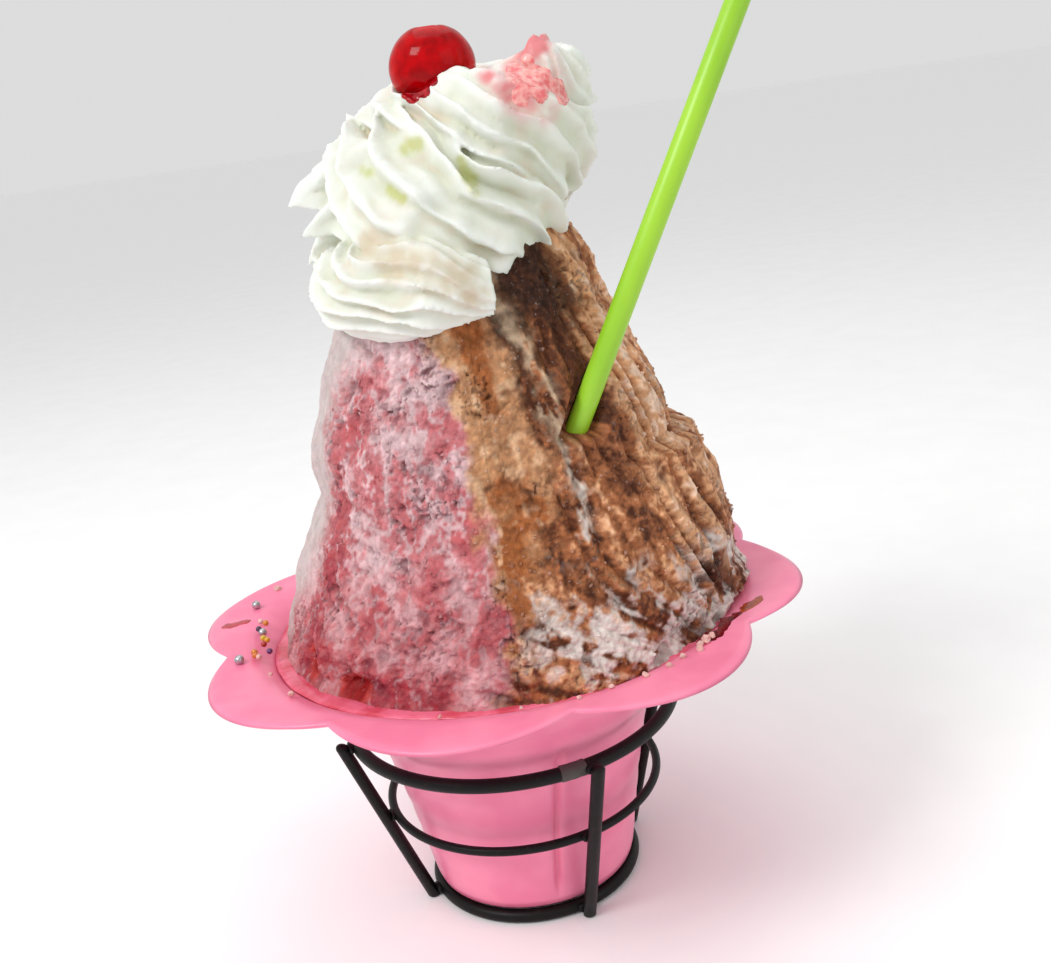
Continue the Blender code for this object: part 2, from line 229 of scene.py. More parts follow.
@dataclass(frozen=True)
class Placing:
    """Where the lip frame's zero stands in the frame (m)."""

    axis_x: float
    lip: float

    @classmethod
    def from_frame(cls, cup_foot: float) -> "Placing":
        """Find the lip frame from the base ring's centre and the cup's underside.

        Args:
            cup_foot: Height of the cup's underside in the lip frame (mm).

        Returns:
            The placing of the lip frame.
        """
        low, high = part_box("stand_base_ring")
        return cls((low.x + high.x) / 2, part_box("cup")[0].z - cup_foot * MM)

    def world(self, points: Points) -> Points:
        """Move points from the lip frame (mm) to the frame (m)."""
        return np.asarray(points, float) * MM + np.array((self.axis_x, 0.0, self.lip))

    def lip_frame(self, points: Points) -> Points:
        """Move points from the frame (m) to the lip frame (mm)."""
        return (points - np.array((self.axis_x, 0.0, self.lip))) / MM


def get_points(mesh: bpy.types.Mesh) -> Points:
    """Read a mesh's vertices as an array."""
    flat = np.empty(len(mesh.vertices) * 3)
    mesh.vertices.foreach_get("co", flat)
    return flat.reshape(-1, 3)


def set_points(mesh: bpy.types.Mesh, points: Points) -> None:
    """Move a mesh's vertices to an array of places."""
    mesh.vertices.foreach_set("co", np.ascontiguousarray(points, dtype=np.float32).ravel())
    mesh.update()


def get_normals(mesh: bpy.types.Mesh) -> Points:
    """Read a mesh's vertex normals as an array."""
    flat = np.empty(len(mesh.vertices) * 3, dtype=np.float32)
    mesh.vertex_normals.foreach_get("vector", flat)
    return flat.reshape(-1, 3).astype(float)


def to_mesh(name: str, shape: bmesh.types.BMesh) -> bpy.types.Mesh:
    """Turn a bmesh into a named mesh and free it."""
    mesh = bpy.data.meshes.new(name)
    shape.to_mesh(mesh)
    shape.free()
    return mesh


def bent_grid(
    name: str, columns: int, rows: int, place: Callable[[Shares, Shares], Points]
) -> bpy.types.Mesh:
    """Bend a flat grid into a surface and weld what meets.

    Args:
        name: Name of the mesh.
        columns: Faces across the grid.
        rows: Faces up the grid.
        place: Takes each vertex's shares across and up the grid, returns its place (m).

    Returns:
        The welded mesh, with its faces turned outwards.
    """
    shape = bmesh.new()
    bmesh.ops.create_grid(shape, x_segments=columns, y_segments=rows, size=0.5)
    mesh = to_mesh(name, shape)
    flat = get_points(mesh)
    across = np.round((flat[:, 0] + 0.5) * columns) / columns
    upward = np.round((flat[:, 1] + 0.5) * rows) / rows
    set_points(mesh, place(across, upward))
    shape = bmesh.new()
    shape.from_mesh(mesh)
    bmesh.ops.remove_doubles(shape, verts=shape.verts, dist=2e-6)
    bmesh.ops.recalc_face_normals(shape, faces=shape.faces)
    shape.to_mesh(mesh)
    shape.free()
    return mesh


def relaxed(mesh: bpy.types.Mesh, points: Points, rounds: int) -> Points:
    """Even out points along a mesh's edges.

    Args:
        mesh: Mesh whose edges join the points.
        points: One place for each of its vertices.
        rounds: How often each point moves halfway to the middle of its neighbours.

    Returns:
        The evened points.
    """
    ends = np.empty(len(mesh.edges) * 2, dtype=np.int64)
    mesh.edges.foreach_get("vertices", ends)
    first, second = ends[0::2], ends[1::2]
    both = np.concatenate([first, second])
    count = np.bincount(both, minlength=len(points))[:, None]
    for _ in range(rounds):
        near = np.concatenate([points[second], points[first]])
        sums = [np.bincount(both, near[:, axis], minlength=len(points)) for axis in range(3)]
        points = 0.5 * points + 0.5 * np.stack(sums, -1) / count
    return points


def store(mesh: bpy.types.Mesh, name: str, values: np.ndarray) -> None:
    """Keep one number or one colour for each vertex under a name.

    Args:
        mesh: The mesh that keeps them.
        name: Name that a finish reads them by.
        values: One number, or three for a colour, for each vertex.
    """
    if values.ndim == 1:
        mesh.attributes.new(name, "FLOAT", "POINT").data.foreach_set("value", values.astype(np.float32))
        return
    solid = np.concatenate([values, np.ones((len(values), 1))], axis=1)
    mesh.attributes.new(name, "FLOAT_COLOR", "POINT").data.foreach_set("color", solid.astype(np.float32).ravel())


def settled(piece: bpy.types.Object) -> None:
    """Replace an object's mesh by what its modifiers make of it."""
    bpy.context.view_layer.update()
    graph = bpy.context.evaluated_depsgraph_get()
    made = bpy.data.meshes.new_from_object(piece.evaluated_get(graph))
    piece.modifiers.clear()
    piece.data = made


def scattered(name: str, seed_shape: bpy.types.Mesh, places: Sequence[Matrix]) -> bpy.types.Mesh:
    """Join many copies of a small shape into one mesh.

    Args:
        name: Name of the joined mesh.
        seed_shape: The small shape, about its own origin.
        places: Where each copy goes.

    Returns:
        The joined mesh.
    """
    corners = get_points(seed_shape)
    faces = np.array([list(face.vertices) for face in seed_shape.polygons])
    turns = np.array([[list(row) for row in place] for place in places])
    moved = np.einsum("nij,vj->nvi", turns[:, :3, :3], corners) + turns[:, None, :3, 3]
    joined = faces[None] + (np.arange(len(places)) * len(corners))[:, None, None]
    mesh = bpy.data.meshes.new(name)
    mesh.from_pydata(moved.reshape(-1, 3), [], joined.reshape(-1, faces.shape[1]))
    mesh.update()
    return mesh


class Slot(Enum):
    """Material names that the pieces' finishes are given."""

    CUP = "cup_plastic"
    ICE = "flavoured_ice"
    CREAM = "whipped_cream"
    CHERRY = "candied_cherry"
    STRAW = "straw_plastic"
    WIRE = "black_wire"


def add_piece(
    name: str,
    mesh: bpy.types.Mesh,
    finish: bpy.types.Material,
    instead_of: Sequence[str] = (),
) -> bpy.types.Object:
    """Link a finished mesh as a piece of the dessert.

    Args:
        name: Name of the piece.
        mesh: Its mesh, already in place.
        finish: Its material.
        instead_of: CAD nodes that the piece stands for.

    Returns:
        The linked object.
    """
    piece = bpy.data.objects.new(name, mesh)
    bpy.context.scene.collection.objects.link(piece)
    mesh.materials.clear()
    mesh.materials.append(finish)
    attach(piece, BODY)
    for node in instead_of:
        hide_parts(node)
    log.info("%s: %d faces", name, len(mesh.polygons))
    return piece


# ---------------------------------------------------------------- shaders


class Socket:
    """A node's output that can be used in Python expressions."""

    def __init__(self, tree: bpy.types.NodeTree, output: bpy.types.NodeSocket) -> None:
        """Wrap one output of a tree."""
        self.tree = tree
        self.output = output

    def maths(self, operation: str, *values: "Socket | float") -> "Socket":
        """Add a Math node that works on this value and others."""
        node = self.tree.nodes.new("ShaderNodeMath")
        node.operation = operation
        for place, value in zip(node.inputs, (self, *values)):
            if isinstance(value, Socket):
                self.tree.links.new(value.output, place)
            else:
                place.default_value = value
        return Socket(self.tree, node.outputs[0])

    def __add__(self, other: "Socket | float") -> "Socket":
        """Add."""
        return self.maths("ADD", other)

    def __mul__(self, other: "Socket | float") -> "Socket":
        """Multiply."""
        return self.maths("MULTIPLY", other)

    def __sub__(self, other: "Socket | float") -> "Socket":
        """Take away."""
        return self.maths("SUBTRACT", other)

    def __rsub__(self, other: float) -> "Socket":
        """Take this away from a number."""
        return self.maths("MULTIPLY", -1.0) + other

    __radd__ = __add__
    __rmul__ = __mul__

    def between(self, low: float, high: float) -> "Socket":
        """Ease from 0 at low to 1 at high."""
        node = self.tree.nodes.new("ShaderNodeMapRange")
        node.interpolation_type = "SMOOTHSTEP"
        self.tree.links.new(self.output, node.inputs["Value"])
        node.inputs["From Min"].default_value = low
        node.inputs["From Max"].default_value = high
        return Socket(self.tree, node.outputs["Result"])


class Finish:
    """One material under construction: a Principled shader and what feeds it."""

    def __init__(self, name: str, **constants: object) -> None:
        """Start a material.

        Args:
            name: Name of the material.
            constants: Numbers and colours for the shader's own sockets, with _ for a space.
        """
        self.material = bpy.data.materials.new(name)
        self.material.use_nodes = True
        self.tree = self.material.node_tree
        self.shader = self.tree.nodes["Principled BSDF"]
        for socket, value in constants.items():
            self.shader.inputs[socket.replace("_", " ")].default_value = value
        self.places = self.node("ShaderNodeTexCoord", {}, {}, "Object")

    def node(self, kind: str, settings: dict, values: dict, output: str | int = 0) -> Socket:
        """Add any node.

        Args:
            kind: The node's type.
            settings: Attributes to set first; a ramp takes its stops under "stops".
            values: What goes into its inputs: links or plain values.
            output: Which of its outputs is wanted.

        Returns:
            That output.
        """
        node = self.tree.nodes.new(kind)
        for name, value in settings.items():
            if name == "stops":
                steps = node.color_ramp.elements
                while len(steps) < len(value):
                    steps.new(0.5)
                for step, (position, colour) in zip(steps, value):
                    step.position, step.color = position, colour
            else:
                setattr(node, name, value)
        for name, value in values.items():
            if isinstance(value, Socket):
                self.tree.links.new(value.output, node.inputs[name])
            else:
                node.inputs[name].default_value = value
        return Socket(self.tree, node.outputs[output])

    def grain(self, size: float, detail: float = 3.0, rough: float = 0.55, stretch: Sequence[float] = (1, 1, 1)) -> Socket:
        """Noise whose largest lumps are about size millimetres."""
        turned = self.node("ShaderNodeMapping", {}, {"Vector": self.places, "Scale": tuple(stretch)})
        return self.node(
            "ShaderNodeTexNoise",
            {},
            {"Vector": turned, "Scale": 1.0 / (size * MM), "Detail": detail, "Roughness": rough},
        )

    def specks(self, size: float) -> Socket:
        """Distance from scattered centres about size millimetres apart."""
        return self.node("ShaderNodeTexVoronoi", {}, {"Vector": self.places, "Scale": 1.0 / (size * MM)})

    def ramp(self, value: Socket, *stops: tuple[float, Colour]) -> Socket:
        """Turn a value into colours."""
        return self.node("ShaderNodeValToRGB", {"stops": stops}, {"Fac": value})

    def mixed(self, share: "Socket | float", first: "Socket | Colour", second: "Socket | Colour", how: str = "MIX") -> Socket:
        """Mix two colours by a share."""
        return self.node(
            "ShaderNodeMix", {"data_type": "RGBA", "blend_type": how}, {0: share, 6: first, 7: second}, 2
        )

    def kept(self, name: str, output: str = "Fac") -> Socket:
        """Read what the mesh keeps under a name."""
        return self.node("ShaderNodeAttribute", {"attribute_name": name}, {}, output)

    def relief(self, height: Socket, depth: float, strength: float = 1.0) -> None:
        """Feed the shader's normal from a height, depth in millimetres."""
        values = {"Height": height, "Distance": depth * MM, "Strength": strength}
        self.feed("Normal", self.node("ShaderNodeBump", {}, values))

    def feed(self, socket: str, value: Socket) -> None:
        """Link a value to one of the shader's sockets."""
        self.tree.links.new(value.output, self.shader.inputs[socket])


@dataclass(frozen=True)
class IceFinish:
    """Packed shaved ice stained by what the mesh keeps under syrup and wet; the syrup colours also hold painted shade
    in pits and under the cream.
    """

    grain_size: float = 0.9
    frost: Colour = tint("f2ece8")

    def made(self) -> bpy.types.Material:
        """Build the material."""
        finish = Finish(
            "flavoured_ice", Subsurface_Weight=0.12, Subsurface_Scale=0.002, IOR=1.31, Specular_IOR_Level=0.4
        )
        stain = finish.kept("syrup", "Color")
        fine = finish.grain(self.grain_size, 4.0, 0.65)
        specks = finish.specks(self.grain_size * 0.8)
        frosty = fine.between(0.60, 0.78) * 0.30
        colour = finish.mixed(frosty, stain, self.frost)
        shade = finish.ramp(finish.grain(2.4, 3.0), (0.30, (0.80, 0.78, 0.78, 1)), (0.68, (1.06, 1.06, 1.06, 1)))
        finish.feed("Base Color", finish.mixed(1.0, colour, shade, "MULTIPLY"))
        finish.feed("Roughness", 0.62 - finish.kept("wet") * 0.34)
        finish.relief(fine + specks * 0.6, 0.35, 0.7)
        return finish.material


@dataclass(frozen=True)
class CreamFinish:
    """Soft whipped cream: cool ridges, and painted shade in its hollows that goes from warm beige to faintly green."""

    ridge: Colour = tint("e8ebe5")
    # Colour of the painted shade in the cream's valleys.
    hollow: Colour = tint("c6c7ac")
    # Warm beige of the painted shade, in the valleys and between the swirl and the lower coil.
    warm: Colour = tint("c9b696")
    stain: Colour = tint("dc8487")
    fleck: Colour = tint("b9bd62")

    def made(self) -> bpy.types.Material:
        """Build the material."""
        finish = Finish(
            "whipped_cream", Subsurface_Weight=0.10, Subsurface_Scale=0.0015, IOR=1.4, Specular_IOR_Level=0.25
        )
        # Painted shade: the depth of each valley mixes the ridge colour towards beige and faint green.
        deep = finish.kept("hollow")
        patches = finish.grain(11.0, 2.0).between(0.52, 0.66)
        low = finish.mixed(patches, self.hollow, self.warm)
        base = finish.mixed(deep, self.ridge, low)
        # Painted warm shade in the valley between the main swirl and the lower coil.
        base = finish.mixed(finish.kept("warmth"), base, self.warm)
        base = finish.mixed(finish.kept("fleck"), base, self.fleck)
        finish.feed("Base Color", finish.mixed(finish.kept("stain"), base, self.stain))
        finish.feed("Roughness", 0.42 + finish.grain(3.0) * 0.2)
        finish.relief(finish.grain(0.8, 3.0) + finish.grain(2.6, 2.0), 0.12, 0.5)
        return finish.material


@dataclass(frozen=True)
class CherryFinish:
    """Candied cherry: deep red under a wet glaze."""

    flesh: Colour = tint("bc0008")
    deep: Colour = tint("960006")

    def made(self) -> bpy.types.Material:
        """Build the material."""
        finish = Finish(
            "candied_cherry",
            Subsurface_Weight=0.08,
            Subsurface_Scale=0.002,
            Coat_Weight=0.18,
            Coat_Roughness=0.04,
            IOR=1.4,
            Specular_IOR_Level=0.05,
        )
        cloudy = finish.grain(4.0, 3.0)
        finish.feed("Base Color", finish.ramp(cloudy, (0.35, self.deep), (0.62, self.flesh)))
        finish.feed("Roughness", 0.12 + cloudy * 0.12)
        finish.relief(finish.grain(2.2, 2.0), 0.12, 0.4)
        return finish.material


@dataclass(frozen=True)
class PlasticFinish:
    """Moulded or drawn plastic with faint clouding and fine scuffs."""

    name: str
    body: Colour
    pale: Colour
    roughness: float = 0.28
    stretch: Sequence[float] = (1.0, 1.0, 1.0)

    def made(self) -> bpy.types.Material:
        """Build the material."""
        finish = Finish(
            self.name, Subsurface_Weight=0.08, Subsurface_Scale=0.002, IOR=1.49, Specular_IOR_Level=0.5
        )
        clouds = finish.grain(14.0, 2.0, stretch=self.stretch)
        finish.feed("Base Color", finish.ramp(clouds, (0.38, self.body), (0.64, self.pale)))
        scuffs = finish.grain(1.6, 3.0, stretch=self.stretch)
        finish.feed("Roughness", self.roughness + scuffs * 0.12)
        finish.relief(finish.grain(5.0, 2.0, stretch=self.stretch), 0.05, 0.35)
        return finish.material


@dataclass(frozen=True)
class WireFinish:
    """Satin black enamel on wire, worn warm and shiny in places."""

    name: str = "black_wire"
    enamel: Colour = tint("0b0a0a")
    worn: Colour = tint("2e2a27")

    def made(self) -> bpy.types.Material:
        """Build the material."""
        finish = Finish(self.name, IOR=1.5, Specular_IOR_Level=0.22)
        worn = finish.grain(3.2, 4.0, 0.6).between(0.60, 0.74)
        finish.feed("Base Color", finish.mixed(worn * 0.7, self.enamel, self.worn))
        finish.feed("Metallic", worn * 0.35)
        finish.feed("Roughness", 0.34 + finish.grain(1.1) * 0.22)
        finish.relief(finish.grain(0.7, 3.0), 0.05, 0.5)
        return finish.material


@dataclass(frozen=True)
class SyrupFinish:
    """Thick clear syrup or sauce."""

    name: str
    thin: Colour
    thick: Colour
    clouds: float = 1.8

    def made(self) -> bpy.types.Material:
        """Build the material."""
        finish = Finish(
            self.name, Coat_Weight=0.35, Coat_Roughness=0.08, IOR=1.4, Specular_IOR_Level=0.25
        )
        depth = finish.grain(self.clouds, 3.0)
        finish.feed("Base Color", finish.ramp(depth, (0.36, self.thick), (0.62, self.thin)))
        finish.feed("Roughness", 0.12 + depth * 0.14)
        finish.relief(finish.grain(self.clouds, 2.0), 0.1, 0.25)
        return finish.material


@dataclass(frozen=True)
class BeadFinish:
    """Sugar beads: silvered ones, or ones in several colours kept under dye."""

    name: str
    metal: float
    shine: Colour = tint("c9c9cc")

    def made(self) -> bpy.types.Material:
        """Build the material."""
        finish = Finish(self.name, Metallic=self.metal, Coat_Weight=0.3)
        tone = finish.grain(0.7, 2.0)
        base = finish.kept("dye", "Color") if self.metal == 0.0 else self.shine
        shade = finish.ramp(tone, (0.3, (0.75, 0.75, 0.75, 1)), (0.7, (1, 1, 1, 1)))
        finish.feed("Base Color", finish.mixed(1.0, base, shade, "MULTIPLY"))
        finish.feed("Roughness", 0.22 + tone * 0.2)
        finish.relief(tone, 0.04, 0.5)
        return finish.material


# ---------------------------------------------------------------- the ice


@dataclass(frozen=True)
class Boundary:
    """A line down the mound between two flavours: azimuth (degrees) at each height (mm)."""

    line: Table

    def past(self, azimuth: Shares, height: Shares, soft: float) -> Shares:
        """Tell how far past the line each point is: 0 before it, 1 after it."""
        return eased(-soft, soft, azimuth - along(self.line, height))


@dataclass(frozen=True)
class SurfaceFacts:
    """What is known at each point of the mound's surface."""

    points: Points
    azimuth: Shares
    height: Shares
    bare: Shares
    flute: Shares
    combed: Shares
    gaps: Shares
    hollows: Shares
    clusters: Shares
    owner: Shares


@dataclass(frozen=True)
class IceMound:
    """Scraped mound of packed ice, stained with berry, caramel and cocoa syrups."""

    placing: Placing
    centre_x: float = 4.0
    side: Table = (
        (-8.0, 58.8), (4.0, 54.8), (17.0, 50.2), (28.0, 46.2), (38.0, 43.4), (47.0, 42.0), (61.0, 37.0),
        (71.0, 32.8), (78.0, 30.6), (85.0, 28.2), (91.0, 25.0), (96.5, 18.0), (99.5, 10.0),
    )
    shoulder_top: float = 37.5
    shoulder_swell: float = 6.0
    waist_height: float = 35.0
    waist_depth: float = 2.2
    foot_spread: float = 3.0
    seat_height: float = 72.0
    seat_depth: float = 7.0
    floor: float = -71.9
    bowl: Table = ((-71.9, 24.9), (-27.5, 34.0), (-26.5, 35.2), (-3.5, 56.4), (-1.5, 60.0), (1.2, 61.0))
    lip_clear_height: float = 1.2
    sectors: int = 4
    columns: int = 276
    rows: int = 344
    low: float = -9.0
    neck: float = 86.0
    flutes: int = 23
    flute_depth: float = 1.15
    slant: float = 0.0051
    straw_entry: tuple[float, float, float] = (24.1, -30.0, 48.4)
    straw_lean: float = math.radians(27.3)
    straw_room: float = 3.0
    white_edge: Boundary = Boundary(
        ((-10.0, -176.0), (8.0, -171.0), (17.0, -163.0), (28.0, -156.0), (60.0, -147.0), (78.0, -137.0))
    )
    berry_edge: Boundary = Boundary(
        ((-5.0, -78.0), (11.0, -89.0), (23.0, -92.0), (46.0, -95.0), (64.0, -99.0), (71.0, -107.0), (80.0, -112.0))
    )
    caramel_edge: Boundary = Boundary(
        ((8.0, -93.0), (16.5, -85.0), (25.5, -79.0), (37.0, -74.0), (47.0, -73.0), (69.0, -78.0), (80.0, -84.0))
    )
    foot_dents: Sequence[tuple[float, float, float, float]] = ((-148.5, 2.0, 3.2, 3.0), (-131.5, -0.2, 4.4, 2.8))
    undercut: tuple[float, float, float] = (-41.0, 15.0, 2.6)
    pitted: Sequence[tuple[float, float, float, float]] = (
        (-110.0, 72.0, 5.0, 3.0), (-118.0, 34.0, 12.0, 9.0), (-122.0, 58.0, 10.0, 10.0), (-104.0, 44.0, 6.0, 9.0),
        (-139.0, 14.6, 9.0, 4.0), (-112.0, 12.0, 12.0, 6.0), (-134.0, 34.0, 4.0, 9.0), (-131.0, 24.0, 5.0, 6.0),
        (-104.0, 62.0, 8.0, 4.0),
    )
    caramel_middle: Table = ((15.0, -86.0), (25.0, -84.0), (47.0, -80.0), (70.0, -90.0))
    stripe: Table = ((10.0, -68.0), (20.0, -72.0), (30.0, -66.0), (52.0, -66.0), (61.0, -67.0), (70.0, -72.0), (80.0, -79.0))

    def lump_field(self, azimuth: Shares, height: Shares) -> Shares:
        """Broad unevenness of the packed ice, as the solid has it (mm)."""
        around = np.stack([3.0 * np.cos(azimuth), 3.0 * np.sin(azimuth), height * 0.05], -1)
        broad = [noise.noise(Vector(place) * 1.3) for place in around]
        close = [noise.noise(Vector(place) * 3.1) for place in around]
        return 1.5 * np.array(broad) + 0.8 * np.array(close)

    def radius(self, azimuth: Shares, height: Shares) -> Shares:
        """Radius of the mound about its own centre line, without relief."""
        levels = np.linspace(self.side[0][0], self.side[-1][0], 240)
        table = [between(self.side, float(level)) for level in levels]
        radius = np.interp(height, levels, table)
        right = np.maximum(np.cos(azimuth), 0.0) ** 1.5
        left = np.maximum(-np.cos(azimuth), 0.0) ** 1.5
        shoulder = eased(2.0, 18.0, height) * (1.0 - eased(self.shoulder_top, self.shoulder_top + 4.0, height))
        radius += self.shoulder_swell * right * shoulder
        radius -= self.waist_depth * left * np.exp(-(((height - self.waist_height) / 7.0) ** 2))
        radius += self.foot_spread * right * np.exp(-(((height - 1.0) / 6.0) ** 2))
        seat = eased(self.seat_height, self.seat_height + 8.0, height) * (1.0 - eased(-0.5, 0.2, np.cos(azimuth + 0.7)))
        return radius - self.seat_depth * seat

    def flute(self, azimuth: Shares, height: Shares) -> Shares:
        """Scraped flutes down the right side: 1 on a crest, -1 in a valley."""
        slanted = self.slanted(azimuth, height)
        place = np.stack([7.0 * slanted, np.zeros_like(azimuth), height / 24.0], -1)
        sway = 0.5 * np.sin(0.05 * height + 1.0) + 2.6 * lumps(place, 1.0, 23, 2)
        return 2.0 * np.abs(np.sin(self.flutes * slanted + sway)) ** 1.1 - 1.0

    def slanted(self, azimuth: Shares, height: Shares) -> Shares:
        """Azimuth carried along the slant of the scraped lines, which swing out at the foot."""
        wrapped = np.radians(self.degrees(azimuth))
        low = np.maximum(24.0 - height, 0.0) / 16.0
        return wrapped + self.slant * height - 0.20 * low * low * eased(0.2, 1.2, -wrapped)

    def on_flutes(self, azimuth: Shares, height: Shares) -> Shares:
        """Tell how strongly the flutes show."""
        degrees = self.degrees(azimuth)
        around = eased(-80.0, -60.0, degrees) * (1.0 - eased(70.0, 100.0, degrees))
        return around * eased(2.0, 10.0, height) * (1.0 - 0.8 * eased(64.0, 80.0, height))

    def degrees(self, azimuth: Shares) -> Shares:
        """Azimuth in degrees from -180 to 180."""
        return (np.degrees(azimuth) + 180.0) % 360.0 - 180.0

    def surface(self, azimuth: Shares, height: Shares) -> tuple[Points, dict[str, np.ndarray]]:
        """Points of the dressed surface, and what the finish needs to know there.

        Args:
            azimuth: Direction from the mound's centre line (radians).
            height: Height above the lip (mm).

        Returns:
            Points in the lip frame, and the arrays to store by name.
        """
        radius = self.radius(azimuth, height)
        smooth = np.stack([radius * np.cos(azimuth), radius * np.sin(azimuth), height], -1)
        fade = eased(-8.0, 2.0, height) * (1.0 - 0.8 * eased(88.0, 99.0, height))
        bare = self.bareness(smooth, azimuth, height)
        broken = smooth + 0.9 * np.stack([lumps(smooth, 2.4, seed, 2) for seed in (201, 211, 221)], -1)
        big, _ = crumbs(broken, 3.0, 11)
        small, owner = crumbs(broken, 1.35, 31)
        clusters = self.clusters(smooth, azimuth, height)
        on_flutes = self.on_flutes(azimuth, height)
        strength = np.clip(0.75 + 1.3 * lumps(smooth * (1.0, 1.0, 0.5), 10.0, 27, 2), 0.1, 1.4)
        flute = self.flute(azimuth, height) * on_flutes * strength
        gaps = eased(0.66, 0.92, big) * (0.25 + 0.75 * clusters) * (1.0 - bare)
        gaps = np.maximum(gaps, eased(0.70, 0.95, small) * clusters * (1.0 - bare)) * (1.0 - 0.5 * on_flutes)
        hollows = eased(0.28, 0.60, lumps(smooth * (1.0, 1.0, 1.4), 6.5, 71, 3)) * (1.0 - 0.9 * bare)
        combed = lumps(np.stack([60.0 * self.slanted(azimuth, height), 0.0 * height, 0.22 * height], -1), 2.2, 87, 3)
        relief = self.lump_field(azimuth, height) + self.flute_depth * flute + 0.18 * combed * on_flutes
        grain = (0.5 - big) * 0.75 + (0.5 - small) * 0.75 + 0.6 * lumps(smooth, 5.0, 3, 3)
        relief += grain * (1.0 - 0.85 * bare) * (1.0 - 0.68 * on_flutes)
        relief -= 0.9 * hollows * (1.0 - 0.6 * on_flutes) + 0.9 * gaps
        relief -= 4.2 * self.dents(azimuth, height)
        apart = (self.degrees(azimuth) - self.undercut[0]) / self.undercut[1]
        relief -= self.undercut[2] * np.exp(-apart ** 2 - ((height + 1.0) / 5.0) ** 2)
        radius = self.carved(radius + relief * fade, azimuth, height)
        snug = self.within(azimuth, along(self.bowl, height) - 0.3)
        radius = np.where(height < self.lip_clear_height, np.minimum(radius, snug), radius)
        points = np.stack([
            self.centre_x + radius * np.cos(azimuth),
            radius * np.sin(azimuth),
            height + 0.25 * grain * fade,
        ], -1)
        facts = SurfaceFacts(smooth, azimuth, height, bare, flute, combed, gaps, hollows, clusters, owner)
        syrup = self.colours(facts)
        wet = np.clip(0.25 + 0.5 * hollows + 0.3 * lumps(smooth, 7.0, 41), 0.0, 1.0)
        return points, {"syrup": syrup, "wet": wet}

    def dents(self, azimuth: Shares, height: Shares) -> Shares:
        """Syrup-soaked dents at the foot of the berry side: 1 in their middles."""
        depth = np.zeros_like(azimuth)
        for degrees, level, wide, tall in self.foot_dents:
            apart = self.degrees(azimuth) - degrees
            depth = np.maximum(depth, np.exp(-((apart / wide) ** 2) - ((height - level) / tall) ** 2))
        return depth

    def clusters(self, points: Points, azimuth: Shares, height: Shares) -> Shares:
        """Tell where small pits crowd together: 1 there, 0 elsewhere."""
        crowd = eased(0.0, 0.42, lumps(points, 10.0, 5, 2))
        for degrees, level, wide, tall in self.pitted:
            apart = self.degrees(azimuth) - degrees
            near = np.exp(-((apart / wide) ** 2) - ((height - level) / tall) ** 2)
            crowd = np.maximum(crowd, near * eased(-0.45, 0.1, lumps(points, 4.0, 6, 2)))
        return crowd

    def carved(self, radius: Shares, azimuth: Shares, height: Shares) -> Shares:
        """Make room for the straw, down to where it goes into the ice."""
        rise = height - self.straw_entry[2]
        away = self.straw_entry[0] - self.centre_x + math.tan(self.straw_lean) * rise
        reach, toward = np.hypot(away, self.straw_entry[1]), np.arctan2(self.straw_entry[1], away)
        aside = np.abs(reach * np.sin(azimuth - toward))
        behind = reach * np.cos(azimuth - toward) - np.sqrt(np.maximum(self.straw_room ** 2 - aside ** 2, 0.0))
        inside = (aside < self.straw_room) & (np.cos(azimuth - toward) > 0.0)
        limit = np.where(inside, behind, np.inf)
        across = np.maximum(np.cos(azimuth), 0.05)
        frontal = np.minimum(np.sin(azimuth), -0.05)
        entered = np.maximum((away - self.straw_room - 1.8) / across, self.straw_entry[1] / frontal)
        before = (np.cos(azimuth) > 0.05) & (np.sin(azimuth) < -0.05)
        before &= entered * across < away + self.straw_room
        limit = np.where(before, np.minimum(limit, entered), limit)
        return radius + (np.minimum(radius, limit) - radius) * eased(-2.2, 1.2, rise)

    def within(self, azimuth: Shares, limit: Shares) -> Shares:
        """Distance from the mound's centre line to a circle round the cup's axis."""
        side = self.centre_x * np.sin(azimuth)
        return np.sqrt(limit * limit - side * side) - self.centre_x * np.cos(azimuth)

    def turned(self, azimuth: Shares) -> Shares:
        """Azimuth in degrees, counted so that the bare back left side comes first."""
        degrees = self.degrees(azimuth)
        return np.where(degrees > 115.0, degrees - 360.0, degrees)

    def coat(self, points: Points, code: str) -> Points:
        """Start an array of one colour, one for each point."""
        return np.tile(np.array(tint(code)[:3]), (len(points), 1))

    def bareness(self, points: Points, azimuth: Shares, height: Shares) -> Shares:
        """Tell where the ice is smooth and has no syrup: 1 there, 0 elsewhere."""
        degrees = self.turned(azimuth) + 7.0 * lumps(points, 9.0, 51, 3)
        return np.maximum(1.0 - self.white_edge.past(degrees, height, 8.0), eased(82.0, 104.0, degrees))

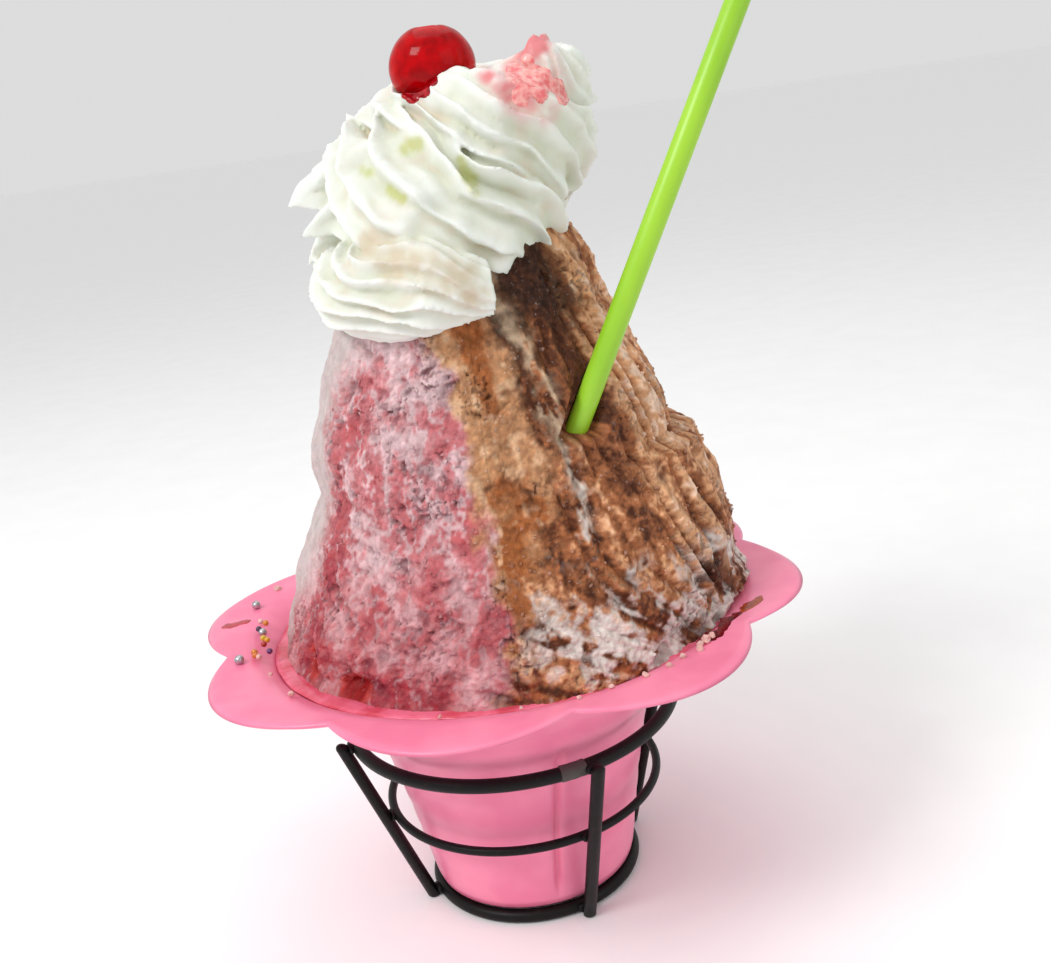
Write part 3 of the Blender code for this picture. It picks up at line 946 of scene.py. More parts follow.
    def colours(self, facts: SurfaceFacts) -> Points:
        """Stain of the syrups at each point, with painted shade in the pits and gaps and a painted shadow under the
        cream.

        Args:
            facts: What is known of each point.

        Returns:
            A linear colour for each point.
        """
        points, height, flute, combed = facts.points, facts.height, facts.flute, facts.combed
        warp = lumps(points, 5.0, 61, 3)
        mottle = lumps(points, 9.0, 81, 3)
        fine = lumps(points, 2.2, 83, 3)
        tiny = lumps(points, 0.9, 93, 2)
        degrees = self.turned(facts.azimuth) + 7.0 * warp
        past_caramel = self.caramel_edge.past(degrees, height, 2.5)
        past_berry = self.berry_edge.past(degrees, height, 2.5)
        colour = self.berry(points, height, mottle, fine, tiny)
        colour += (self.caramel(facts, degrees, fine, tiny) - colour) * past_berry[:, None]
        colour += (self.cocoa(facts, degrees, fine, tiny) - colour) * past_caramel[:, None]
        line = np.exp(-(((degrees - along(self.stripe, height)) / 2.8) ** 2)) * eased(6.0, 14.0, height)
        line *= eased(-0.35, 0.25, fine + combed + 0.02 * (height - 45.0))
        foot = (1.0 - eased(12.0, 22.0, height + 12.0 * fine)) * eased(-96.0, -80.0, degrees)
        patches = eased(-0.12, 0.18, mottle + 0.5 * fine + 0.3 * combed) * foot
        colour = blend_tints(colour, tint("d2b699"), line * 0.85)
        snowy = np.maximum(line * (1.0 - eased(34.0, 52.0, height)), patches)
        colour = blend_tints(colour, tint("e3dad3"), snowy * 0.9)
        fudge = np.exp(-(((degrees + 33.0) / 12.0) ** 2)) * (1.0 - eased(13.0, 20.0, height))
        colour = blend_tints(colour, tint("38201a"), fudge * eased(-0.05, 0.2, -mottle + 0.4 * fine) * 0.9)
        is_berry = (1.0 - past_berry)[:, None]
        # Painted shade in the gaps, hollows and clustered pits: maroon on the berry side, dark brown elsewhere.
        shadow = is_berry * np.array(tint("6a303c")[:3]) + (1.0 - is_berry) * np.array(tint("41241a")[:3])
        speckled = eased(0.05, 0.40, tiny) * facts.clusters * 0.85
        pits = np.maximum(np.maximum(facts.gaps, 0.5 * facts.hollows), speckled)
        colour += (shadow - colour) * (pits * (1.0 - facts.bare) * 0.8)[:, None]
        colour = blend_tints(colour, tint("c9b9b7"), facts.bare)
        dents = self.dents(facts.azimuth, height) + 0.25 * fine
        colour = blend_tints(colour, tint("bf3e36"), eased(0.10, 0.40, dents) * 0.8)
        colour = blend_tints(colour, tint("8c0a10"), eased(0.28, 0.62, dents) * 0.92)
        shaded = eased(74.0, 79.0, height + 3.0 * warp) * (1.0 - eased(-116.0, -104.0, degrees))
        colour = blend_tints(colour, tint("e8e4e2"), shaded)
        bright = 0.88 + 0.24 * facts.owner * (1.0 - facts.bare) + 0.12 * facts.bare
        return np.clip(colour * bright[:, None], 0.0, 1.0)

    def berry(self, points: Points, height: Shares, mottle: Shares, fine: Shares, tiny: Shares) -> Points:
        """Colours of the berry syrup: pale pink with pinker and frosted patches."""
        colour = self.coat(points, "d0888c")
        low = 1.0 - eased(10.0, 40.0, height + 9.0 * mottle)
        strong = 0.5 * fine - mottle + 0.45 * low
        colour = blend_tints(colour, tint("bd5b60"), eased(-0.50, 0.55, strong) * 0.85)
        colour = blend_tints(colour, tint("ad3a3f"), eased(0.30, 0.90, strong + 0.6 * tiny) * (0.35 + 0.45 * low))
        maroon = eased(0.25, 0.75, 0.8 * strong - 0.6 * fine + 0.5 * tiny)
        colour = blend_tints(colour, tint("8c3342"), maroon * (0.35 + 0.30 * low))
        squiggle = 1.0 - np.abs(lumps(points * (1.0, 1.0, 0.55), 4.0, 97, 3)) * 3.6
        frost = eased(-0.15, 0.60, mottle + 0.5 * fine + 0.25 * tiny)
        frost = np.maximum(frost, 0.9 * eased(0.1, 0.9, squiggle + 0.7 * tiny + mottle))
        colour = blend_tints(colour, tint("ddcccf"), frost * (0.72 - 0.36 * low))
        return colour * (1.0 + 0.22 * tiny + 0.10 * fine)[:, None]

    def caramel(self, facts: SurfaceFacts, degrees: Shares, fine: Shares, tiny: Shares) -> Points:
        """Colours of the caramel syrup: tan with a soaked column down the middle."""
        colour = self.coat(facts.points, "bd8a62")
        middle = np.exp(-(((degrees - along(self.caramel_middle, facts.height)) / 6.0) ** 2))
        soaked = 0.75 * middle + lumps(facts.points * (1.0, 1.0, 0.7), 7.0, 85, 3)
        soaked += 0.05 - 0.50 * eased(20.0, 66.0, facts.height)
        colour = blend_tints(colour, tint("985220"), eased(-0.05, 0.55, soaked + 0.35 * fine) * 0.85)
        colour = blend_tints(colour, tint("dab592"), eased(0.0, 0.5, fine + 0.3 * facts.combed - 0.5 * soaked) * 0.7)
        return colour * (1.0 + 0.35 * tiny + 0.15 * fine)[:, None]

    def cocoa(self, facts: SurfaceFacts, degrees: Shares, fine: Shares, tiny: Shares) -> Points:
        """Colours of the cocoa syrup: dark in the flutes' valleys, tan and frosted on their crests, with a painted
        shadow under the cream at the top.
        """
        height = facts.height
        slanted = self.slanted(facts.azimuth, height)
        band = lumps(np.stack([11.0 * slanted, 0.0 * height, height / 26.0], -1), 1.0, 107, 2)
        band = 0.8 * band + 0.45 * facts.flute + 0.25 * facts.combed + 0.7 * fine + 0.5 * tiny
        band = band + 0.50 * eased(-50.0, -30.0, degrees) * eased(14.0, 30.0, height) - 0.05
        colour = self.coat(facts.points, "a3653f")
        colour = blend_tints(colour, tint("dca77c"), eased(0.0, 0.65, band) * 0.9)
        colour = blend_tints(colour, tint("e8cdb8"), eased(0.75, 1.35, band + 0.4 * fine) * 0.75)
        colour = blend_tints(colour, tint("4f240f"), eased(0.0, 0.75, -band) * 0.92)
        warp = lumps(facts.points, 5.0, 61, 3)
        dark = eased(42.0, 60.0, height + 10.0 * warp) * (1.0 - eased(-52.0, -38.0, degrees))
        colour = blend_tints(colour, tint("46200e"), dark * eased(-0.65, 0.35, facts.combed + 1.2 * fine) * 0.88)
        # Painted shadow under the overhanging cream, near black at the top of the cocoa side.
        under = eased(68.0, 76.0, height + 5.0 * warp) * (1.0 - eased(-48.0, -36.0, degrees))
        colour = blend_tints(colour, tint("23100a"), under * 0.75)
        return colour * (1.0 + 0.40 * tiny + 0.20 * fine)[:, None]

    def sector(self, number: int, finish: bpy.types.Material) -> bpy.types.Object:
        """Build one wedge of the mound, closed along the mound's centre line.

        Args:
            number: Which wedge, counted round from the back.
            finish: The ice's material.

        Returns:
            The linked piece.
        """
        start = math.pi / 2 + math.tau * number / self.sectors
        width = math.tau / self.sectors
        kept: dict[str, np.ndarray] = {}

        def place(across: Shares, upward: Shares) -> Points:
            """Lay the grid over the wedge: centre line, surface, centre line."""
            first, last = 1.0 / self.columns, 1.0 - 1.0 / self.columns
            low_row, high_row = 1.0 / self.rows, 1.0 - 1.0 / self.rows
            share = np.clip((across - first) / (last - first), 0.0, 1.0)
            climb = np.clip((upward - low_row) / (high_row - low_row), 0.0, 1.0)
            height = self.low + (self.neck - self.low) * np.minimum(climb / 0.95, 1.0)
            height += (self.side[-1][0] - self.neck) * np.maximum(climb - 0.95, 0.0) / 0.05
            points, facts = self.surface(start + width * share, height)
            kept.update(facts)
            inside = (across < first / 2) | (across > last + first / 2)
            inside |= (upward < low_row / 2) | (upward > high_row + low_row / 2)
            points[inside, 0] = self.centre_x
            points[inside, 1] = 0.0
            points[inside, 2] = height[inside]
            return self.placing.world(points)

        name = f"ice_mound_{number + 1}"
        shape = bmesh.new()
        bmesh.ops.create_grid(shape, x_segments=self.columns, y_segments=self.rows, size=0.5)
        mesh = to_mesh(name, shape)
        flat = get_points(mesh)
        across = np.round((flat[:, 0] + 0.5) * self.columns) / self.columns
        upward = np.round((flat[:, 1] + 0.5) * self.rows) / self.rows
        set_points(mesh, place(across, upward))
        for key, values in kept.items():
            store(mesh, key, values)
        shape = bmesh.new()
        shape.from_mesh(mesh)
        bmesh.ops.remove_doubles(shape, verts=shape.verts, dist=1e-6)
        bmesh.ops.recalc_face_normals(shape, faces=shape.faces)
        axis = Vector(self.placing.world((self.centre_x, 0.0, 0.0)))
        for face in shape.faces:
            face.smooth = all((corner.co.xy - axis.xy).length > 1e-5 for corner in face.verts)
        shape.to_mesh(mesh)
        shape.free()
        return add_piece(name, mesh, finish, ("shaved_ice",))

    def in_cup(self, finish: bpy.types.Material) -> bpy.types.Object:
        """Build the packed ice inside the cup, below the mound."""

        def place(across: Shares, upward: Shares) -> Points:
            """Wrap the grid into a plug that fills the cup."""
            azimuth = math.tau * across
            climb = np.clip(upward * 30 - 1, 0.0, 28.0) / 28.0
            height = self.floor + (self.low + 1.0 - self.floor) * climb
            radius = along(self.bowl, height) - 0.8 + 0.3 * np.sin(9 * azimuth + 0.3 * height)
            radius = np.where((upward < 0.5 / 30) | (upward > 29.5 / 30), 0.0, radius)
            return self.placing.world(np.stack([radius * np.cos(azimuth), radius * np.sin(azimuth), height], -1))

        mesh = bent_grid("ice_in_cup", 96, 30, place)
        mesh.shade_smooth()
        stain = np.empty((len(mesh.vertices), 3))
        stain[:] = tint("e6cfcf")[:3]
        store(mesh, "syrup", stain)
        store(mesh, "wet", np.full(len(mesh.vertices), 0.5))
        return add_piece("ice_in_cup", mesh, finish, ("shaved_ice",))

    def build(self) -> bpy.types.Material:
        """Build the mound and what fills the cup, and return the ice's finish."""
        finish = IceFinish().made()
        for number in range(self.sectors):
            self.sector(number, finish)
        self.in_cup(finish)
        return finish


# ---------------------------------------------------------------- the cream


@dataclass(frozen=True)
class CreamSwirl:
    """Fluted rope of whipped cream laid in a rising swirl."""

    placing: Placing
    cherry_centre: tuple[float, float, float]
    cherry_clear: float
    start: float = math.radians(288.0)
    turns: float = 2.96
    flutes: int = 13
    flute_depth: float = 0.19
    half_flute_depth: float = 0.05
    twist: Table = ((0.0, 0.045), (0.45, 0.050), (0.80, 0.075), (1.25, 0.080), (1.8, 0.080), (2.5, 0.085), (3.0, 0.09))
    lay: Sequence[tuple[float, tuple[float, float, float, float, float]]] = (
        (0.00, (1.0, -4.0, 27.5, 80.5, 5.5)),
        (0.06, (0.0, -4.0, 27.0, 82.5, 9.6)),
        (0.15, (0.0, -4.0, 25.0, 83.5, 10.2)),
        (0.30, (0.0, -2.0, 19.0, 84.5, 10.5)),
        (0.55, (4.0, 0.0, 21.0, 88.0, 11.5)),
        (0.80, (5.4, 0.0, 12.4, 94.4, 13.0)),
        (1.04, (5.8, 0.0, 14.0, 96.4, 19.2)),
        (1.30, (6.5, 0.0, 13.5, 104.0, 18.5)),
        (1.55, (8.0, 0.0, 14.0, 106.0, 16.5)),
        (1.80, (9.5, 0.0, 14.5, 107.5, 15.0)),
        (2.04, (12.0, 0.0, 13.0, 112.0, 13.5)),
        (2.30, (9.0, 0.0, 11.5, 115.0, 11.5)),
        (2.50, (14.0, 0.0, 10.0, 117.5, 10.0)),
        (2.75, (19.0, 0.0, 11.0, 119.0, 9.5)),
        (2.88, (20.5, -1.0, 8.0, 123.0, 7.0)),
        (2.96, (21.5, -1.0, 6.5, 131.0, 0.8)),
    )
    core: Sequence[tuple[tuple[float, float, float], float]] = (
        ((0.0, -10.0, 90.0), 20.0),
        ((-8.5, -5.0, 94.0), 13.0),
        ((6.0, 0.0, 100.0), 17.0),
        ((10.0, 0.0, 112.0), 12.0),
        ((20.0, -2.0, 117.5), 8.0),
        ((24.5, -2.0, 121.0), 6.0),
        ((10.6, -13.5, 120.6), 5.2),
        ((6.0, -15.6, 119.4), 4.6),
        ((12.0, -20.0, 86.0), 7.0),
    )
    pulled_points: Sequence[tuple[tuple[float, float, float], tuple[float, float, float], float, float]] = (
        ((-15.0, -3.0, 104.5), (-33.8, -4.0, 100.4), 6.0, 2.2),
        ((-17.0, -7.0, 99.5), (-31.2, -9.0, 95.2), 4.6, 1.6),
        ((-18.0, -4.0, 95.0), (-30.6, -5.0, 88.4), 5.2, 2.4),
        ((-18.0, -8.0, 88.0), (-32.6, -7.0, 82.6), 4.8, 1.8),
        ((-12.0, 3.0, 115.0), (-16.8, 2.0, 121.4), 4.0, -1.0),
        ((26.0, 0.0, 111.5), (40.4, -1.0, 115.6), 6.6, 2.6),
        ((26.0, -2.0, 105.5), (39.4, -3.0, 109.0), 6.0, 2.2),
        ((26.0, -3.0, 99.0), (34.4, -5.0, 97.4), 4.4, 1.2),
        ((26.0, 1.0, 114.0), (35.4, 1.0, 126.4), 8.0, 1.6),
        ((21.0, -2.0, 116.0), (27.8, -3.0, 132.0), 8.6, -1.4),
    )
    stained: Spots = (
        ((25.0, 0.0, 120.0), 7.5), ((26.5, 0.0, 127.5), 5.5), ((20.5, 0.0, 121.0), 5.0), ((15.5, 0.0, 123.5), 2.6),
    )
    flecked: Spots = (
        ((-3.4, 0.0, 111.0), 1.7), ((-2.2, 0.0, 111.4), 2.0), ((-0.9, 0.0, 111.6), 1.8), ((7.5, 0.0, 107.2), 1.3),
        ((8.0, 0.0, 106.0), 1.6), ((8.5, 0.0, 104.8), 1.7), ((9.1, 0.0, 103.4), 1.7), ((9.6, 0.0, 102.0), 1.6),
        ((10.2, 0.0, 100.6), 1.4), ((-13.4, 0.0, 108.0), 1.4), ((-12.2, 0.0, 107.2), 1.5), ((-7.6, 0.0, 103.4), 1.2),
        ((-6.6, 0.0, 102.6), 1.4), ((-5.4, 0.0, 101.6), 1.3),
    )
    # Spots of painted warm shade in the valley between the main swirl and the lower coil.
    warm_shade_spots: Spots = (
        ((-9.6, 0.0, 89.7), 5.0), ((-3.0, 0.0, 88.0), 5.0), ((3.5, 0.0, 84.5), 5.0), ((6.5, 0.0, 81.5), 3.5),
        ((-14.0, 0.0, 93.0), 3.5),
    )
    wander: float = 2.6
    notch: Table = (
        (-9.0, 124.0), (-3.3, 122.2), (-1.1, 121.4), (1.3, 121.4), (3.5, 123.2), (5.2, 125.3), (7.0, 126.2),
        (10.0, 126.2), (12.0, 124.6), (16.0, 126.0), (20.0, 140.0),
    )
    stations: int = 620
    around: int = 126
    voxel: float = 0.56
    smoothings: int = 60

    def laid(self, turns: float) -> tuple[np.ndarray, float, np.ndarray]:
        """Centre of the rope, its radius and the swirl's centre after some turns."""
        values = [between([(where, row[index]) for where, row in self.lay], turns) for index in range(5)]
        centre_x, centre_y, coil, height, radius = values
        azimuth = self.start - math.tau * turns
        centre = np.array((centre_x + coil * math.cos(azimuth), centre_y + coil * math.sin(azimuth), height))
        return centre, radius, np.array((centre_x, centre_y, 0.0))

    def rope(self) -> bpy.types.Mesh:
        """Sweep the fluted section along the swirl."""
        sections = []
        travelled, wound = 0.0, 0.0
        last = self.laid(0.0)[0]
        for step in range(self.stations + 1):
            turns = self.turns * step / self.stations
            centre, radius, swirl = self.laid(turns)
            ahead = self.laid(turns + 0.004)[0] - self.laid(turns - 0.004)[0]
            ahead /= np.linalg.norm(ahead)
            moved = float(np.linalg.norm(centre - last))
            travelled += moved
            wound += moved * between(self.twist, turns)
            last = centre
            outward = (centre - swirl) * (1.0, 1.0, 0.0)
            outward -= outward.dot(ahead) * ahead
            outward /= np.linalg.norm(outward)
            upward = np.cross(outward, ahead)
            upward = -upward if upward[2] < 0.0 else upward
            sections.append((centre, outward, upward, radius, travelled, wound))
        centres, outwards, upwards = (np.array([row[index] for row in sections]) for index in range(3))
        radii, lengths, winds = (np.array([row[index] for row in sections]) for index in (3, 4, 5))

        def place(across: Shares, upward: Shares) -> Points:
            """Wrap the grid round the rope; its end rows close the ends."""
            station = np.clip(np.round(upward * (self.stations + 2)).astype(int) - 1, 0, self.stations)
            turn = math.tau * across
            around = np.stack([2.0 * np.cos(turn), 2.0 * np.sin(turn), lengths[station] / 9.0], -1)
            sway = 1.5 * lumps(around, 1.3, 301, 2)
            valley = np.abs(np.sin(0.5 * self.flutes * turn + sway)) ** 1.15
            halves = np.abs(np.sin(self.flutes * turn + 1.6 * sway + 0.5)) ** 1.3 * self.half_flute_depth
            deep = self.flute_depth * (0.95 + 1.1 * lumps(around * (1.0, 1.0, 0.6), 1.3, 311))
            close = np.stack([7.0 * np.cos(turn), 7.0 * np.sin(turn), lengths[station] / 2.2], -1)
            ragged = lumps(close, 1.0, 321, 2) * (1.0 - valley)
            folds = lumps(around * (1.0, 1.0, 0.5), 0.8, 341, 2)
            reach = radii[station] * (1.02 - deep * valley - halves + 0.07 * ragged + 0.03 * folds)
            reach[(upward < 0.5 / (self.stations + 2)) | (upward > 1.0 - 0.5 / (self.stations + 2))] = 0.0
            angle = turn + winds[station]
            away = outwards[station] * np.cos(angle)[:, None] + upwards[station] * np.sin(angle)[:, None]
            return self.placing.world(centres[station] + away * reach[:, None])

        return bent_grid("whipped_cream", self.around, self.stations + 2, place)

    def with_core(self, mesh: bpy.types.Mesh) -> None:
        """Add what fills the swirl and the flutes that were pulled out into points."""
        shape = bmesh.new()
        shape.from_mesh(mesh)
        for centre, radius in self.core:
            place = Matrix.Translation(self.placing.world(centre))
            bmesh.ops.create_uvsphere(shape, u_segments=48, v_segments=32, radius=radius * MM, matrix=place)
        for start, end, radius, sag in self.pulled_points:
            flake = self.flake(start, end, radius, sag)
            shape.from_mesh(flake)
            bpy.data.meshes.remove(flake)
        shape.to_mesh(mesh)
        shape.free()

    def flake(
        self, start: tuple[float, float, float], end: tuple[float, float, float], radius: float, sag: float
    ) -> bpy.types.Mesh:
        """Pull one ragged point out of the cream.

        Args:
            start: Where it leaves the cream (mm).
            end: Its tip (mm).
            radius: Its radius where it leaves (mm).
            sag: How far its middle is lifted before it droops (mm).

        Returns:
            The closed mesh.
        """
        base, tip = np.array(start), np.array(end)
        ahead = (tip - base) / np.linalg.norm(tip - base)
        side = np.cross(ahead, (0.0, 1.0, 0.0))
        side /= np.linalg.norm(side)
        front = np.cross(side, ahead)

        def place(across: Shares, upward: Shares) -> Points:
            """Wrap the grid round the point's bent axis."""
            turn = math.tau * across
            axis = base + (tip - base) * upward[:, None]
            axis[:, 2] += sag * np.sin(math.pi * upward)
            width = radius * np.sqrt(np.clip(upward / 0.06, 0.0, 1.0)) * np.maximum(1.0 - upward, 0.0) ** 0.75
            around = np.stack([np.cos(turn), np.sin(turn), 3.5 * upward + start[2]], -1)
            width = width * (1.0 + 0.22 * np.cos(3.0 * turn + 2.0 * upward) + 0.35 * lumps(around, 0.8, 331, 2))
            away = side * np.cos(turn)[:, None] + 0.75 * front * np.sin(turn)[:, None]
            return self.placing.world(axis + away * width[:, None])

        return bent_grid("flake", 40, 40, place)

    def build(self) -> bpy.types.Object:
        """Build the cream, fused and torn along its ridges."""
        mesh = self.rope()
        self.with_core(mesh)
        piece = bpy.data.objects.new("cream_working", mesh)
        bpy.context.scene.collection.objects.link(piece)
        fuse = piece.modifiers.new("fuse", "REMESH")
        fuse.mode = "VOXEL"
        fuse.voxel_size = self.voxel * MM
        soften = piece.modifiers.new("soften", "SMOOTH")
        soften.factor = 0.5
        soften.iterations = 1
        settled(piece)
        mesh = piece.data
        bpy.data.objects.remove(piece)
        points, normals = self.placing.lip_frame(get_points(mesh)), get_normals(mesh)
        streaks = lumps(points + 1.2 * lumps(points, 4.0, 9, 2)[:, None], 2.8, 7, 3)
        points += normals * (0.22 * streaks)[:, None]
        points += self.wander * np.stack([lumps(points, 12.0, seed, 2) for seed in (361, 371, 381)], -1)
        excess = np.maximum(points[:, 2] - along(self.notch, points[:, 0]), 0.0)
        points[:, 2] -= 0.85 * excess * (1.0 - eased(-9.0, -5.0, points[:, 1]))
        away = points - np.array(self.cherry_centre)
        apart = np.linalg.norm(away, axis=1)
        push = np.maximum(self.cherry_clear - apart, 0.0)
        points += away / apart[:, None] * push[:, None]
        seat = 1.0 - eased(self.cherry_clear + 1.0, self.cherry_clear + 5.0, apart)
        points += (relaxed(mesh, points, 14) - points) * seat[:, None]
        set_points(mesh, self.placing.world(points))
        mesh.shade_smooth()
        # Valley depth, which the finish turns into painted shade.
        store(mesh, "hollow", self.hollows(mesh))
        shown = facing(mesh)
        flat, soft = points * SEEN, (0.10, 1.10)
        store(mesh, "stain", shown * spread(flat, self.stained, 343, 0.9, soft))
        store(mesh, "fleck", 0.7 * shown * spread(flat, self.flecked, 353, 0.9, soft))
        # Painted warm shade, only where the cream faces the front.
        store(mesh, "warmth", 0.7 * shown * spread(flat, self.warm_shade_spots, 363, 0.8, soft))
        return add_piece("whipped_cream_swirl", mesh, CreamFinish().made(), ("whipped_cream",))

    def hollows(self, mesh: bpy.types.Mesh) -> Shares:
        """Tell where the cream is hollow, for the painted shade in its valleys: 1 in a valley, 0 on a ridge."""
        before = self.placing.lip_frame(get_points(mesh))
        after = relaxed(mesh, before, self.smoothings)
        depth = ((after - before) * get_normals(mesh)).sum(1)
        return np.clip(0.22 + 0.60 * depth, 0.0, 1.0)


# ---------------------------------------------------------------- small things


def sauce_patch(
    name: str, over: bpy.types.Object, placing: Placing, spots: Spots, depth: float, seed: int
) -> bpy.types.Mesh:
    """Lay a closed film of sauce over part of a surface.

    Args:
        name: Name of the mesh.
        over: The piece that the sauce lies on.
        placing: Where the lip frame stands.
        spots: Middles of the sauce and how far it spreads from each (mm).
        depth: Thickness in the middle (mm).
        seed: Picks the ragged edge.

    Returns:
        The film, sunk below the surface at its edges.
    """
    points, normals = placing.lip_frame(get_points(over.data)), get_normals(over.data)
    share = spread(points * SEEN, spots, seed, 0.85) * facing(over.data)
    shape = bmesh.new()
    shape.from_mesh(over.data)
    outside = []
    for vert, rise, normal, kept in zip(shape.verts, (depth * share - 0.12) * MM, normals, share):
        vert.co += Vector(normal) * float(rise)
        if kept <= 0.01:
            outside.append(vert)
    bmesh.ops.delete(shape, geom=outside, context="VERTS")
    bmesh.ops.delete(shape, geom=[vert for vert in shape.verts if not vert.link_faces], context="VERTS")
    log.info("%s: %d faces laid", name, len(shape.faces))
    bmesh.ops.solidify(shape, geom=shape.faces[:], thickness=0.25 * MM)
    bmesh.ops.recalc_face_normals(shape, faces=shape.faces)
    mesh = to_mesh(name, shape)
    mesh.shade_smooth()
    return mesh


@dataclass(frozen=True)
class Sauces:
    """Fruit sauce and cherry syrup that lie on the cream."""

    placing: Placing
    cream: bpy.types.Object
    berry_spots: Spots = (
        ((22.6, 0.0, 122.6), 3.6), ((26.8, 0.0, 121.6), 3.4), ((22.0, 0.0, 118.4), 3.2), ((29.8, 0.0, 119.0), 2.6),
        ((24.6, 0.0, 125.6), 2.2), ((30.6, 0.0, 116.4), 2.2), ((26.0, 0.0, 118.4), 2.6),
    )
    drip_spots: Spots = (
        ((-2.2, 0.0, 122.0), 1.6), ((-0.6, 0.0, 121.0), 1.9), ((1.8, 0.0, 121.8), 1.7), ((4.2, 0.0, 123.8), 1.3),
    )

    def build(self) -> None:
        """Build both sauces."""
        berry = sauce_patch("strawberry_sauce", self.cream, self.placing, self.berry_spots, 0.34, 501)
        finish = SyrupFinish("strawberry_sauce", tint("f4b3ad"), tint("e26a6e")).made()
        add_piece("strawberry_sauce", berry, finish)
        drips = sauce_patch("cherry_syrup", self.cream, self.placing, self.drip_spots, 0.30, 511)
        finish = SyrupFinish("cherry_syrup", tint("b3101c"), tint("7c0410")).made()
        add_piece("cherry_syrup_drips", drips, finish)


@dataclass(frozen=True)
class SyrupPool:
    """Syrup that has run down into the angle between the ice and the cup."""

    placing: Placing
    bowl: Table
    centre_x: float
    levels: Table = (
        (-180.0, -3.4), (-165.0, -3.1), (-150.0, -2.6), (-125.0, -2.2), (-100.0, -2.0), (-80.0, -2.1),
        (-62.0, -1.8), (-48.0, -1.1), (-30.0, -0.9), (-18.0, -1.6), (0.0, -2.4), (90.0, -2.8), (180.0, -3.4),
    )
    columns: int = 720

    def build(self) -> None:
        """Build the pool as one closed ring."""

        def place(across: Shares, upward: Shares) -> Points:
            """Bend the grid into a ring with a rounded top."""
            azimuth = math.tau * across - math.pi
            level = along(self.levels, np.degrees(azimuth))
            around = np.stack([58.0 * np.cos(azimuth), 58.0 * np.sin(azimuth), 0.0 * azimuth], -1)
            level = level + 0.35 * lumps(around, 9.0, 521, 2)
            turn = math.tau * upward
            height = level - 0.9 + 0.9 * np.sin(turn)
            radius = along(self.bowl, level) - 3.4 + 3.5 * np.cos(turn)
            radius = np.minimum(radius, along(self.bowl, height) + 0.12)
            return self.placing.world(np.stack([radius * np.cos(azimuth), radius * np.sin(azimuth), height], -1))

        mesh = bent_grid("syrup_pool", self.columns, 16, place)
        mesh.shade_smooth()
        finish = SyrupFinish("syrup_pool", tint("ea6f8b"), tint("cf4558"), 7.0).made()
        add_piece("syrup_pool", mesh, finish)


